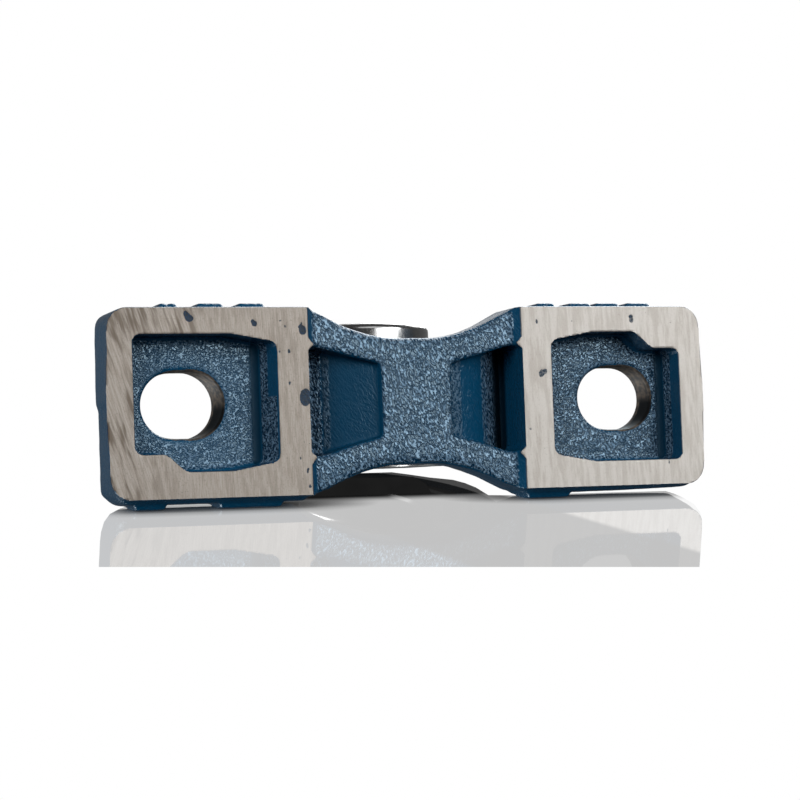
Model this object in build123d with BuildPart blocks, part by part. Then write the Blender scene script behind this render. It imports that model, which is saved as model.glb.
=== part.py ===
from build123d import *
import os
from math import atan2, cos, degrees, isclose, radians, sin, sqrt, tan

# Pillow block for a 30 mm shaft: a cast housing on two slotted feet, holding a wide inner
# ring ball bearing insert whose spherical outer ring swivels in the housing's seat.
# Millimetres. +Z up, X along the base from bolt to bolt, Y along the shaft.
# The origin is the middle of the machined feet. The set screw side faces -Y.

# Housing
base_length = 165.0
base_width = 48.0
foot_height = 17.0
foot_corner_radius = 5.4  # corners of the feet, seen from above
foot_end_draft = 0.8  # each end leans in by this much from the parting line at its middle
foot_end_radius = 5.0  # top edge of each end
foot_side_radius = 3.0  # top edge of each long side
shaft_height = 42.9
body_radius = 41.1
ledge_width = 8.2  # from the body's flat sides out to the full width of a foot
body_edge_radius = 3.0
ledge_cove_share = 0.75  # blend of the ledges into the body's flat sides
flare_slot_gap = 1.4  # flat left between the body's flare and a bolt slot
flare_sink_share = 0.0125  # how far the flares at the body's foot run into the feet
waist_inset = 0.35  # the waist's arcs cut this far into the body's flat sides
waist_foot_x = 28.8  # where the waist's arc reaches the full width of a foot

# Underside
pad_inner_x = 29.7
relief_depth = 2.0
relief_ramp = 2.2  # from the edge of a machined foot to the full depth of the relief
pad_tip_length = 1.7  # points of a machined foot that run in over the pocket walls
pad_tip_half_width = 1.9
pad_tip_margin = 0.0
web_left_x = 9.5
web_right_x = 10.1
web_pocket_outer_x = 29.7
web_pocket_left_draft = 17.0  # degrees, on the far wall of the pocket on the left
web_wall = 9.6  # from the side of a foot to a web pocket, at the pocket's wide end
web_pocket_taper = 5.0
web_pocket_corner = 1.4
web_pocket_wide_corner = 1.9
wall_under_seat = 9.0
foot_pocket_inner_x = 38.0
foot_pocket_outer_x = 75.4
foot_wall = 6.8
foot_pocket_taper = 2.2
foot_pocket_throat_x = 50.0
foot_pocket_depth = 9.6
foot_pocket_corner = 2.1
foot_pocket_floor_radius = 1.8
foot_pocket_inner_draft = 2.4  # over the pocket's depth
foot_pocket_outer_draft = 0.5
dowel_pad_x = 67.4  # inner edge of the solid corner that a dowel may be drilled through
dowel_pad_depth = 4.5
dowel_pad_slant = 5.0
dowel_pad_radius = 2.8
dowel_x = 71.5
dowel_side = 5.8  # from a dowel mark to the side of the foot
dowel_dimple_radius = 1.6
dowel_dimple_depth = 0.9

# Mounting slots
bolt_spacing = 121.0
bolt_slot_width = 17.0
bolt_slot_length = 20.0
bolt_slot_arris = 0.6
bolt_slot_cast_radius = 1.1  # where the slot runs into the hollow of the foot

# Bearing insert
fit_gap = 0.01  # left round a piece that is pressed in
insert_diameter = 62.0
outer_ring_width = 19.0
seat_clearance = 0.03
seat_half_width = 11.0
mouth_chamfer = 0.8
loading_slot_clearance = 0.3
loading_slot_relief = 0.25
bore_diameter = 30.0
inner_ring_front = 22.2  # from the ball centres to the set screw end
inner_ring_back = 15.9
inner_land_diameter = 40.2
inner_nose_diameter = 37.2
inner_step_y = 8.4
inner_end_share = 0.62  # of the wall beside the bore's chamfer, rounded at the ends
bore_chamfer = 0.8
ball_diameter = 9.525
ball_count = 9
pitch_diameter = 46.0
race_radius = 4.905
ball_clearance = 0.02
outer_land_diameter = 51.6
outer_ring_chamfer = 0.6

# Seals and flingers
shield_groove_diameter = 53.4
shield_groove_inner_y = 6.9
shield_thickness = 0.7
shield_inner_diameter = 43.2
outer_mouth_diameter = 52.6
lip_thickness = 1.1
lip_bond = 1.2
lip_clearance = 0.03
lip_rise = 0.45
flinger_thickness = 0.8
flinger_gap = 0.35
flinger_diameter = 51.4
flinger_sleeve = 2.6
flinger_rim = 0.9

# Cage
cage_inner_radius = 21.3
cage_outer_radius = 24.7
cage_sheet = 0.9
cage_ball_clearance = 0.1
rivet_radius = 0.8
rivet_head_radius = 1.35
rivet_head_height = 0.5

# Set screws
set_screw_diameter = 6.0
set_screw_length = 4.5
set_screw_end_distance = 5.0
set_screw_angles = (30.0, 150.0)  # from +X towards +Z
set_screw_thread_clearance = 0.03
set_screw_tip_gap = 0.2
set_screw_hex = 3.0
set_screw_hex_depth = 2.4
set_screw_cup_radius = 1.5
set_screw_chamfer = 0.6

# Locating pin
pin_diameter = 3.0
pin_length = 3.7
pin_seat_depth = 1.7
pin_slot_clearance = 0.06
pin_swing = 1.5
pin_end_gap = 0.25
pin_chamfer = 0.3

# Lubrication
groove_front_y = -7.4
groove_back_y = -0.4
groove_depth = 0.8
ring_grease_hole_y = -5.6
ring_grease_hole_radius = 0.8
nipple_angle = 45.0
boss_radius = 7.0
boss_height = 1.8
boss_foot_radius = 1.0
tap_radius = 2.75
tap_depth = 7.0
passage_radius = 1.6
nipple_thread_length = 5.5
nipple_thread_clearance = 0.03
nipple_hex = 7.0
nipple_hex_height = 3.0
nipple_shoulder_height = 1.5
nipple_neck_radius = 2.35
nipple_neck_height = 1.5
nipple_head_radius = 3.25
nipple_head_height = 2.4
nipple_flange_radius = 3.1
nipple_head_flare = 1.1
nipple_tip_radius = 1.7
nipple_tip_thickness = 0.8
nipple_arris = 0.3
nipple_mouth_radius = 0.85
nipple_bore_radius = 1.35
spring_seat_height = 1.0
check_ball_radius = 1.2
check_ball_gap = 0.02
check_ball_travel = 0.8
spring_wire_radius = 0.16
spring_radius = 0.95
spring_turns = 5
spring_end_gap = 0.03

overall_height = shaft_height + body_radius
half_base = base_length / 2
half_width = base_width / 2
body_width = base_width - 2 * ledge_width
waist_width = body_width - 2 * waist_inset
body_foot_fillet = (bolt_spacing - bolt_slot_length) / 2 - body_radius - flare_slot_gap
flare_sink = flare_sink_share * body_foot_fillet
flare_foot = foot_height - flare_sink
ledge_cove = ledge_cove_share * ledge_width * body_foot_fillet / (ledge_width + body_foot_fillet)
foot_pocket_half_width = half_width - foot_wall
foot_pocket_throat_half_width = foot_pocket_half_width - foot_pocket_taper
dowel_pad_y = foot_pocket_half_width - dowel_pad_depth
dowel_y = half_width - dowel_side
web_pocket_outer_y = half_width - web_wall
web_pocket_inner_y = web_pocket_outer_y - web_pocket_taper
pad_tip_y = web_pocket_outer_y + pad_tip_margin
insert_radius = insert_diameter / 2
seat_radius = insert_radius + seat_clearance
ball_radius = ball_diameter / 2
pitch_radius = pitch_diameter / 2
half_ring = outer_ring_width / 2
bore_radius = bore_diameter / 2
nose_radius = inner_nose_diameter / 2
inner_end_radius = inner_end_share * (nose_radius - bore_radius - bore_chamfer)
land_radius = inner_land_diameter / 2

boss_face = body_radius + boss_height
set_screw_y = set_screw_end_distance - inner_ring_front
pin_way_radius = pin_diameter / 2 + pin_slot_clearance
pin_way_depth = pin_length - pin_seat_depth + pin_end_gap
tolerance = 0.01  # for picking edges

shaft_centre = (0, 0, shaft_height)
shaft_axis = Axis(shaft_centre, (0, 1, 0))
# Half sections are drawn here: local x runs along the shaft, local y is the radius.
section_plane = Plane(origin=shaft_centre, x_dir=(0, 1, 0), z_dir=(1, 0, 0))
# Rings of balls and rivets are laid out here, square to the shaft.
ring_plane = Plane(origin=shaft_centre, x_dir=(1, 0, 0), z_dir=(0, 1, 0))


def radial_plane(angle, distance=0.0, along=0.0):
    """A plane facing outwards from the shaft axis, at an angle from +X towards +Z."""
    outwards = Vector(cos(radians(angle)), 0, sin(radians(angle)))
    origin = Vector(0, along, shaft_height) + outwards * distance
    return Plane(origin=origin, x_dir=(0, 1, 0), z_dir=outwards)


def finish(builder, name):
    """Labels a finished piece and writes it under its node name."""
    builder.part.label = name
    export_step(builder.part, f"parts/{name}.step")


os.makedirs("parts", exist_ok=True)

# --- Housing -------------------------------------------------------------------------

# Hollows either side of the middle web. Their roofs follow the wall under the seat.
with BuildPart() as web_pockets:
    for inner_x, outer_x in (
        (-web_left_x, -web_pocket_outer_x),
        (web_right_x, web_pocket_outer_x),
    ):
        with BuildSketch() as pocket_outline:
            with BuildLine():
                Polyline(
                    (inner_x, -web_pocket_inner_y),
                    (outer_x, -web_pocket_outer_y),
                    (outer_x, web_pocket_outer_y),
                    (inner_x, web_pocket_inner_y),
                    close=True,
                )
            make_face()
            fillet(pocket_outline.vertices().filter_by_position(
                Axis.X, inner_x - tolerance, inner_x + tolerance), web_pocket_corner)
            fillet(pocket_outline.vertices().filter_by_position(
                Axis.X, outer_x - tolerance, outer_x + tolerance), web_pocket_wide_corner)
        extrude(amount=shaft_height)
    with BuildSketch(Plane.XZ):
        with BuildLine():
            Polyline(
                (-web_pocket_outer_x, 0),
                (-web_pocket_outer_x, shaft_height),
                (tan(radians(web_pocket_left_draft)) * shaft_height - web_pocket_outer_x,
                 shaft_height),
                close=True,
            )
        make_face()
    extrude(amount=half_width, both=True, mode=Mode.SUBTRACT)
    with Locations(Location(shaft_centre, (90, 0, 0))):
        Cylinder(seat_radius + wall_under_seat, base_width, mode=Mode.SUBTRACT)

# Hollow of one foot, with the solid corner left for a dowel. Its end walls are drafted.
with BuildPart() as foot_pocket:
    with BuildSketch():
        with BuildLine():
            Polyline(
                (foot_pocket_inner_x, -foot_pocket_throat_half_width),
                (foot_pocket_throat_x, -foot_pocket_half_width),
                (dowel_pad_x - dowel_pad_slant, -foot_pocket_half_width),
                (dowel_pad_x, -dowel_pad_y),
                (foot_pocket_outer_x, -dowel_pad_y),
                (foot_pocket_outer_x, foot_pocket_half_width),
                (foot_pocket_throat_x, foot_pocket_half_width),
                (foot_pocket_inner_x, foot_pocket_throat_half_width),
                close=True,
            )
        make_face()
    extrude(amount=foot_pocket_depth)
    with BuildSketch(Plane.XZ):
        with BuildLine():
            Polyline(
                (foot_pocket_inner_x, 0),
                (foot_pocket_outer_x, 0),
                (foot_pocket_outer_x - foot_pocket_outer_draft, foot_pocket_depth),
                (foot_pocket_inner_x + foot_pocket_inner_draft, foot_pocket_depth),
                close=True,
            )
        make_face()
    extrude(amount=half_width, both=True, mode=Mode.INTERSECT)
    upright = foot_pocket.edges().filter_by(
        lambda e: isclose(e.bounding_box().size.Z, foot_pocket_depth, abs_tol=tolerance))
    pad_corners = upright.filter_by(
        lambda e: e.center().Y < 0 and dowel_pad_x - dowel_pad_slant - tolerance
        < e.center().X < dowel_pad_x + tolerance)
    fillet(pad_corners, dowel_pad_radius)
    upright = foot_pocket.edges().filter_by(
        lambda e: isclose(e.bounding_box().size.Z, foot_pocket_depth, abs_tol=tolerance))
    fillet(upright.filter_by(lambda e: e.center().X > foot_pocket_outer_x - 1
                             or e.center().X < foot_pocket_throat_x + tolerance),
           foot_pocket_corner)
    fillet(foot_pocket.faces().sort_by(Axis.Z)[-1].edges(), foot_pocket_floor_radius)

# Relief between the machined feet, with the points that they run out to
with BuildPart() as relief:
    with BuildSketch(Plane.XZ):
        Trapezoid(
            2 * pad_inner_x,
            relief_depth,
            degrees(atan2(relief_depth, relief_ramp)),
            align=(Align.CENTER, Align.MIN),
        )
    extrude(amount=half_width, both=True)
    for side in (-1, 1):
        for tip_y in (-pad_tip_y, pad_tip_y):
            with BuildSketch():
                with BuildLine():
                    Polyline(
                        (side * (pad_inner_x + pad_tip_length), tip_y - 2 * pad_tip_half_width),
                        (side * (pad_inner_x + pad_tip_length), tip_y + 2 * pad_tip_half_width),
                        (side * (pad_inner_x - pad_tip_length), tip_y),
                        close=True,
                    )
                make_face()
            extrude(amount=relief_depth, mode=Mode.SUBTRACT)

# Body of the housing, flared down to the feet and rounded along both rims
with BuildPart() as body:
    with BuildSketch(Plane.XZ) as front_outline:
        Rectangle(base_length, flare_foot, align=(Align.CENTER, Align.MIN))
        Rectangle(2 * body_radius, shaft_height, align=(Align.CENTER, Align.MIN))
        with Locations((0, shaft_height)):
            Circle(body_radius)
        shoulder = front_outline.vertices().filter_by(
            lambda v: isclose(v.Y, flare_foot) and isclose(abs(v.X), body_radius)
        )
        fillet(shoulder, body_foot_fillet)
    extrude(amount=body_width / 2, both=True)
    rim = body.edges().filter_by(
        lambda e: isclose(abs(e.center().Y), body_width / 2)
        and e.center().Z > flare_foot - tolerance
    )
    fillet(rim, body_edge_radius)
    Box(
        2 * (body_radius + body_foot_fillet),
        body_width,
        overall_height,
        align=(Align.CENTER, Align.CENTER, Align.MIN),
        mode=Mode.INTERSECT,
    )

with BuildPart() as housing:
    with BuildSketch() as planform:
        foot_end_x = half_base - foot_end_draft
        with BuildLine():
            Polyline(
                (waist_foot_x, -half_width),
                (foot_end_x, -half_width),
                (half_base, 0),
                (foot_end_x, half_width),
                (waist_foot_x, half_width),
            )
            ThreePointArc(
                (waist_foot_x, half_width),
                (0, waist_width / 2),
                (-waist_foot_x, half_width),
            )
            Polyline(
                (-waist_foot_x, half_width),
                (-foot_end_x, half_width),
                (-half_base, 0),
                (-foot_end_x, -half_width),
                (-waist_foot_x, -half_width),
            )
            ThreePointArc(
                (-waist_foot_x, -half_width),
                (0, -waist_width / 2),
                (waist_foot_x, -half_width),
            )
        make_face()
        corners = planform.vertices().filter_by(lambda v: isclose(abs(v.X), foot_end_x))
        fillet(corners, foot_corner_radius)
    extrude(amount=foot_height)
    with BuildSketch(Plane.YZ) as end_outline:
        Rectangle(base_width, foot_height, align=(Align.CENTER, Align.MIN))
        fillet(end_outline.vertices().group_by(Axis.Y)[-1], foot_side_radius)
    extrude(amount=half_base, both=True, mode=Mode.INTERSECT)
    with BuildSketch(Plane.XZ) as side_outline:
        Rectangle(base_length, foot_height, align=(Align.CENTER, Align.MIN))
        fillet(side_outline.vertices().group_by(Axis.Y)[-1], foot_end_radius)
    extrude(amount=half_width, both=True, mode=Mode.INTERSECT)
    add(body.part)
    ledge = housing.edges().filter_by(
        lambda e: isclose(abs(e.center().Y), body_width / 2, abs_tol=tolerance)
        and isclose(e.center().Z, foot_height, abs_tol=tolerance)
    )
    fillet(ledge, ledge_cove)

    # Grease nipple boss
    with Locations(radial_plane(nipple_angle)):
        Cylinder(
            boss_radius,
            body_radius + boss_height,
            align=(Align.CENTER, Align.CENTER, Align.MIN),
        )
    boss_foot = housing.edges().filter_by(GeomType.BSPLINE).sort_by(Axis.Z)[-1]
    fillet(boss_foot, boss_foot_radius)

    # Relief between the feet, and the hollows
    add(relief.part, mode=Mode.SUBTRACT)
    add(web_pockets.part, mode=Mode.SUBTRACT)
    with PolarLocations(0, 2):
        add(foot_pocket.part, mode=Mode.SUBTRACT)

    # Mounting slots, and the marks for drilling dowel holes
    with BuildSketch() as slots:
        with GridLocations(bolt_spacing, 0, 2, 1):
            SlotOverall(bolt_slot_length, bolt_slot_width)
    extrude(amount=foot_height, mode=Mode.SUBTRACT)
    for rim_z, rim_radius in (
        (foot_height, bolt_slot_arris),
        (foot_pocket_depth, bolt_slot_cast_radius),
    ):
        slot_rims = housing.edges().filter_by(
            lambda e: abs(e.center().Y) <= bolt_slot_width / 2 + tolerance
            and abs(abs(e.center().X) - bolt_spacing / 2) <= bolt_slot_length / 2 + tolerance
            and isclose(e.center().Z, rim_z, abs_tol=tolerance)
        )
        fillet(slot_rims, rim_radius)
    with Locations((-dowel_x, dowel_y, foot_height), (dowel_x, -dowel_y, foot_height)):
        Cone(
            0,
            dowel_dimple_radius,
            dowel_dimple_depth,
            align=(Align.CENTER, Align.CENTER, Align.MAX),
            mode=Mode.SUBTRACT,
        )

    # Seat and its mouths
    mouth_radius = sqrt(seat_radius**2 - seat_half_width**2)
    with BuildSketch(section_plane) as seat_section:
        with BuildLine():
            Line((-half_width, 0), (half_width, 0))
            Polyline(
                (half_width, 0),
                (half_width, mouth_radius + mouth_chamfer),
                (body_width / 2, mouth_radius + mouth_chamfer),
                (body_width / 2 - mouth_chamfer, mouth_radius),
                (seat_half_width, mouth_radius),
            )
            ThreePointArc(
                (seat_half_width, mouth_radius), (0, seat_radius), (-seat_half_width, mouth_radius)
            )
            Polyline(
                (-seat_half_width, mouth_radius),
                (mouth_chamfer - body_width / 2, mouth_radius),
                (-body_width / 2, mouth_radius + mouth_chamfer),
                (-half_width, mouth_radius + mouth_chamfer),
                (-half_width, 0),
            )
        make_face()
    revolve(axis=shaft_axis, mode=Mode.SUBTRACT)

    # Slots that the insert is loaded through, and the way in for the locating pin
    with Locations(shaft_centre):
        Box(
            2 * (seat_radius + loading_slot_relief),
            half_width,
            outer_ring_width + loading_slot_clearance,
            align=(Align.CENTER, Align.MIN, Align.CENTER),
            mode=Mode.SUBTRACT,
        )
    with BuildSketch(radial_plane(0)) as pin_way:
        with Locations((-pin_swing, 0)):
            Circle(pin_way_radius)
            Rectangle(body_width, 2 * pin_way_radius, align=(Align.MIN, Align.CENTER))
    extrude(amount=seat_radius + pin_way_depth, mode=Mode.SUBTRACT)

    # Grease groove round the seat, the passage to it and the tapped hole
    with BuildSketch(section_plane) as groove_section:
        with Locations((groove_front_y, 0)):
            Rectangle(
                groove_back_y - groove_front_y,
                seat_radius + groove_depth,
                align=(Align.MIN, Align.MIN),
            )
    revolve(axis=shaft_axis, mode=Mode.SUBTRACT)
    with Locations(radial_plane(nipple_angle)):
        Cylinder(
            passage_radius,
            body_radius,
            align=(Align.CENTER, Align.CENTER, Align.MIN),
            mode=Mode.SUBTRACT,
        )
    with Locations(radial_plane(nipple_angle, boss_face)):
        Cylinder(
            tap_radius,
            tap_depth,
            align=(Align.CENTER, Align.CENTER, Align.MAX),
            mode=Mode.SUBTRACT,
        )
finish(housing, "housing")

# --- Outer ring and locating pin -----------------------------------------------------

outer_race_centre = pitch_radius + ball_radius + ball_clearance - race_radius
outer_land = outer_land_diameter / 2
outer_race_half = sqrt(race_radius**2 - (outer_land - outer_race_centre) ** 2)
shield_radius = shield_groove_diameter / 2
outer_mouth = outer_mouth_diameter / 2
ring_face_radius = sqrt(insert_radius**2 - half_ring**2)
shield_groove_outer_y = shield_groove_inner_y + shield_thickness

with BuildPart() as outer_ring:
    with BuildSketch(section_plane) as outer_section:
        with BuildLine():
            Polyline(
                (-outer_race_half, outer_land),
                (-shield_groove_inner_y, outer_land),
                (-shield_groove_inner_y, shield_radius + fit_gap),
                (-shield_groove_outer_y - fit_gap, shield_radius + fit_gap),
                (-shield_groove_outer_y - fit_gap, outer_mouth),
                (-half_ring, outer_mouth),
                (-half_ring, ring_face_radius),
            )
            ThreePointArc((-half_ring, ring_face_radius), (0, insert_radius), (half_ring, ring_face_radius))
            Polyline(
                (half_ring, ring_face_radius),
                (half_ring, outer_mouth),
                (shield_groove_outer_y + fit_gap, outer_mouth),
                (shield_groove_outer_y + fit_gap, shield_radius + fit_gap),
                (shield_groove_inner_y, shield_radius + fit_gap),
                (shield_groove_inner_y, outer_land),
                (outer_race_half, outer_land),
            )
            ThreePointArc(
                (outer_race_half, outer_land),
                (0, outer_race_centre + race_radius),
                (-outer_race_half, outer_land),
            )
        make_face()
        ring_corners = outer_section.vertices().filter_by(
            lambda v: isclose(v.Y, ring_face_radius, abs_tol=tolerance)
        )
        chamfer(ring_corners, outer_ring_chamfer)
    revolve(axis=shaft_axis)
    with Locations(radial_plane(0, insert_radius)):
        Cylinder(
            pin_diameter / 2 + fit_gap,
            pin_seat_depth,
            align=(Align.CENTER, Align.CENTER, Align.MAX),
            mode=Mode.SUBTRACT,
        )
    with Locations(radial_plane(nipple_angle + 180, along=ring_grease_hole_y)):
        Cylinder(
            ring_grease_hole_radius,
            insert_radius,
            align=(Align.CENTER, Align.CENTER, Align.MIN),
            mode=Mode.SUBTRACT,
        )
finish(outer_ring, "outer_ring")

with BuildPart() as locating_pin:
    with Locations(radial_plane(0, insert_radius - pin_seat_depth)):
        Cylinder(pin_diameter / 2, pin_length, align=(Align.CENTER, Align.CENTER, Align.MIN))
    chamfer(locating_pin.edges().filter_by(GeomType.CIRCLE), pin_chamfer)
finish(locating_pin, "locating_pin")

# --- Inner ring ----------------------------------------------------------------------

inner_race_centre = pitch_radius - ball_radius - ball_clearance + race_radius
inner_race_half = sqrt(race_radius**2 - (inner_race_centre - land_radius) ** 2)

with BuildPart() as inner_ring:
    with BuildSketch(section_plane) as inner_section:
        with BuildLine():
            Polyline(
                (-inner_race_half, land_radius),
                (-inner_step_y, land_radius),
                (-inner_step_y, nose_radius),
                (inner_end_radius - inner_ring_front, nose_radius),
            )
            ThreePointArc(
                (inner_end_radius - inner_ring_front, nose_radius),
                (
                    inner_end_radius * (1 - sqrt(0.5)) - inner_ring_front,
                    nose_radius - inner_end_radius * (1 - sqrt(0.5)),
                ),
                (-inner_ring_front, nose_radius - inner_end_radius),
            )
            Polyline(
                (-inner_ring_front, nose_radius - inner_end_radius),
                (-inner_ring_front, bore_radius + bore_chamfer),
                (bore_chamfer - inner_ring_front, bore_radius),
                (inner_ring_back - bore_chamfer, bore_radius),
                (inner_ring_back, bore_radius + bore_chamfer),
                (inner_ring_back, nose_radius - inner_end_radius),
            )
            ThreePointArc(
                (inner_ring_back, nose_radius - inner_end_radius),
                (
                    inner_ring_back - inner_end_radius * (1 - sqrt(0.5)),
                    nose_radius - inner_end_radius * (1 - sqrt(0.5)),
                ),
                (inner_ring_back - inner_end_radius, nose_radius),
            )
            Polyline(
                (inner_ring_back - inner_end_radius, nose_radius),
                (inner_step_y, nose_radius),
                (inner_step_y, land_radius),
                (inner_race_half, land_radius),
            )
            ThreePointArc(
                (inner_race_half, land_radius),
                (0, inner_race_centre - race_radius),
                (-inner_race_half, land_radius),
            )
        make_face()
    revolve(axis=shaft_axis)
    for angle in set_screw_angles:
        with Locations(radial_plane(angle, along=set_screw_y)):
            Cylinder(
                set_screw_diameter / 2,
                insert_radius,
                align=(Align.CENTER, Align.CENTER, Align.MIN),
                mode=Mode.SUBTRACT,
            )
finish(inner_ring, "inner_ring")

# --- Set screws ----------------------------------------------------------------------

for number, angle in enumerate(set_screw_angles, start=1):
    screw_base = radial_plane(angle, bore_radius + set_screw_tip_gap, set_screw_y)
    with BuildPart(screw_base) as set_screw:
        Cylinder(
            set_screw_diameter / 2 - set_screw_thread_clearance,
            set_screw_length,
            align=(Align.CENTER, Align.CENTER, Align.MIN),
        )
        chamfer(set_screw.edges().filter_by(GeomType.CIRCLE), set_screw_chamfer)
        Cone(
            set_screw_cup_radius,
            0,
            set_screw_cup_radius / 2,
            align=(Align.CENTER, Align.CENTER, Align.MIN),
            mode=Mode.SUBTRACT,
        )
        with BuildSketch(screw_base.offset(set_screw_length)):
            RegularPolygon(set_screw_hex / 2, 6, major_radius=False)
        extrude(amount=-set_screw_hex_depth, mode=Mode.SUBTRACT)
    finish(set_screw, f"set_screw_{number}")

# --- Balls and cage ------------------------------------------------------------------

for number in range(1, ball_count + 1):
    ball_angle = radians(360 * (number - 1) / ball_count)
    with BuildPart() as ball:
        with Locations(
            (
                pitch_radius * cos(ball_angle),
                0,
                shaft_height + pitch_radius * sin(ball_angle),
            )
        ):
            Sphere(ball_radius)
    finish(ball, f"ball_{number}")

pocket_radius = ball_radius + cage_ball_clearance
ball_angles = [360 * k / ball_count for k in range(ball_count)]
rivet_angles = [angle + 180 / ball_count for angle in ball_angles]

for side, half_name in ((-1, "cage_front"), (1, "cage_back")):
    near = Align.MIN if side > 0 else Align.MAX
    with BuildPart() as cage_half:
        # A ribbon round the pitch circle, humped over each ball
        with Locations(*[radial_plane(angle) for angle in ball_angles]):
            Cylinder(
                pocket_radius + cage_sheet,
                cage_outer_radius + pocket_radius,
                align=(Align.CENTER, Align.CENTER, Align.MIN),
            )
        with Locations(Location(shaft_centre, (90, 0, 0))):
            Cylinder(cage_outer_radius + pocket_radius, 2 * cage_sheet)
            Cylinder(cage_inner_radius, insert_diameter, mode=Mode.SUBTRACT)
        with BuildSketch(ring_plane):
            Circle(cage_outer_radius)
        extrude(amount=insert_radius, both=True, mode=Mode.INTERSECT)
        with Locations(*[radial_plane(angle) for angle in ball_angles]):
            Cylinder(
                pocket_radius,
                2 * insert_radius,
                align=(Align.CENTER, Align.CENTER, Align.MIN),
                mode=Mode.SUBTRACT,
            )
        with Locations(shaft_centre):
            Box(
                insert_diameter,
                insert_radius,
                insert_diameter,
                align=(Align.CENTER, near, Align.CENTER),
                mode=Mode.INTERSECT,
            )
        with Locations(ring_plane):
            with PolarLocations(pitch_radius, ball_count, start_angle=180 / ball_count):
                Cylinder(rivet_radius + fit_gap, insert_radius, mode=Mode.SUBTRACT)
    finish(cage_half, half_name)

with BuildPart() as cage_rivets:
    with Locations(ring_plane):
        with PolarLocations(pitch_radius, ball_count, start_angle=180 / ball_count):
            Cylinder(rivet_radius, 2 * cage_sheet + rivet_head_height)
    for side in (-1, 1):
        with Locations(ring_plane.offset(side * (cage_sheet + rivet_head_height / 2))):
            with PolarLocations(pitch_radius, ball_count, start_angle=180 / ball_count):
                Cylinder(rivet_head_radius, rivet_head_height)
finish(cage_rivets, "cage_rivets")

# --- Seals and flingers --------------------------------------------------------------

shield_inner = shield_inner_diameter / 2
flinger_radius = flinger_diameter / 2
shield_outer_y = shield_groove_inner_y + shield_thickness
for side, end_name in ((-1, "front"), (1, "back")):
    with BuildPart() as seal_shield:
        with BuildSketch(section_plane):
            with BuildLine():
                Polyline(
                    (side * shield_groove_inner_y, shield_inner),
                    (side * shield_groove_inner_y, shield_radius),
                    (side * shield_outer_y, shield_radius),
                    (side * shield_outer_y, shield_inner),
                    close=True,
                )
            make_face()
        revolve(axis=shaft_axis)
    finish(seal_shield, f"seal_shield_{end_name}")

    # The lip is moulded round the shield's inner edge and points outwards
    with BuildPart() as seal_lip:
        with BuildSketch(section_plane):
            with BuildLine():
                Polyline(
                    (side * shield_outer_y, shield_inner + lip_bond),
                    (side * shield_outer_y, shield_inner),
                    (side * shield_groove_inner_y, shield_inner),
                    (side * shield_groove_inner_y, shield_inner - lip_thickness / 2),
                    (side * (shield_outer_y - lip_clearance), land_radius + lip_clearance),
                    (side * (shield_outer_y + lip_rise), land_radius + lip_clearance),
                    (side * (shield_outer_y + lip_rise), shield_inner + lip_bond),
                    close=True,
                )
            make_face()
        revolve(axis=shaft_axis)
    finish(seal_lip, f"seal_lip_{end_name}")

    with BuildPart() as flinger:
        with BuildSketch(section_plane):
            with BuildLine():
                Polyline(
                    (side * inner_step_y, nose_radius + fit_gap),
                    (side * inner_step_y, flinger_radius - flinger_rim),
                    (side * (shield_outer_y + flinger_gap), flinger_radius - flinger_rim),
                    (side * (shield_outer_y + flinger_gap), flinger_radius),
                    (side * (inner_step_y + flinger_thickness), flinger_radius),
                    (side * (inner_step_y + flinger_thickness), nose_radius + flinger_thickness),
                    (side * (inner_step_y + flinger_sleeve), nose_radius + flinger_thickness),
                    (side * (inner_step_y + flinger_sleeve), nose_radius + fit_gap),
                    close=True,
                )
            make_face()
        revolve(axis=shaft_axis)
    finish(flinger, f"flinger_{end_name}")

# --- Grease nipple -------------------------------------------------------------------

nipple_seat = radial_plane(nipple_angle, boss_face)
# Half sections of the nipple: local x is the radius, local y runs outwards.
nipple_plane = Plane(
    origin=nipple_seat.origin,
    x_dir=nipple_seat.x_dir,
    z_dir=nipple_seat.x_dir.cross(nipple_seat.z_dir),
)
nipple_axis = Axis(nipple_seat.origin, nipple_seat.z_dir)
thread_radius = tap_radius - nipple_thread_clearance
shoulder_top = nipple_hex_height + nipple_shoulder_height
neck_top = shoulder_top + nipple_neck_height
head_widest = neck_top + nipple_head_flare
nipple_top = head_widest + nipple_head_height
mouth_inner = nipple_top - nipple_tip_thickness
valve_seat = nipple_bore_radius - nipple_mouth_radius

with BuildPart() as nipple_body:
    with BuildSketch(nipple_plane):
        with BuildLine():
            Polyline(
                (0, nipple_top),
                (0, -nipple_thread_length),
                (thread_radius - nipple_arris, -nipple_thread_length),
                (thread_radius, nipple_arris - nipple_thread_length),
                (thread_radius, 0),
                (nipple_flange_radius, 0),
                (nipple_flange_radius, nipple_hex_height),
                (nipple_neck_radius, shoulder_top),
                (nipple_neck_radius, neck_top),
                (nipple_head_radius, head_widest),
            )
            RadiusArc(
                (nipple_head_radius, head_widest),
                (nipple_tip_radius, nipple_top),
                -nipple_head_radius,
            )
            Line((nipple_tip_radius, nipple_top), (0, nipple_top))
        make_face()
    revolve(axis=nipple_axis)
    with BuildSketch(nipple_seat):
        RegularPolygon(nipple_hex / 2, 6, major_radius=False)
    extrude(amount=nipple_hex_height)
    with BuildSketch(nipple_plane):
        with BuildLine():
            Polyline(
                (0, -nipple_thread_length),
                (nipple_mouth_radius, -nipple_thread_length),
                (nipple_mouth_radius, spring_seat_height),
                (nipple_bore_radius, spring_seat_height),
                (nipple_bore_radius, mouth_inner - valve_seat),
                (nipple_mouth_radius, mouth_inner),
                (nipple_mouth_radius, nipple_top),
                (0, nipple_top),
                close=True,
            )
        make_face()
    revolve(axis=nipple_axis, mode=Mode.SUBTRACT)
finish(nipple_body, "nipple_body")

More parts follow.
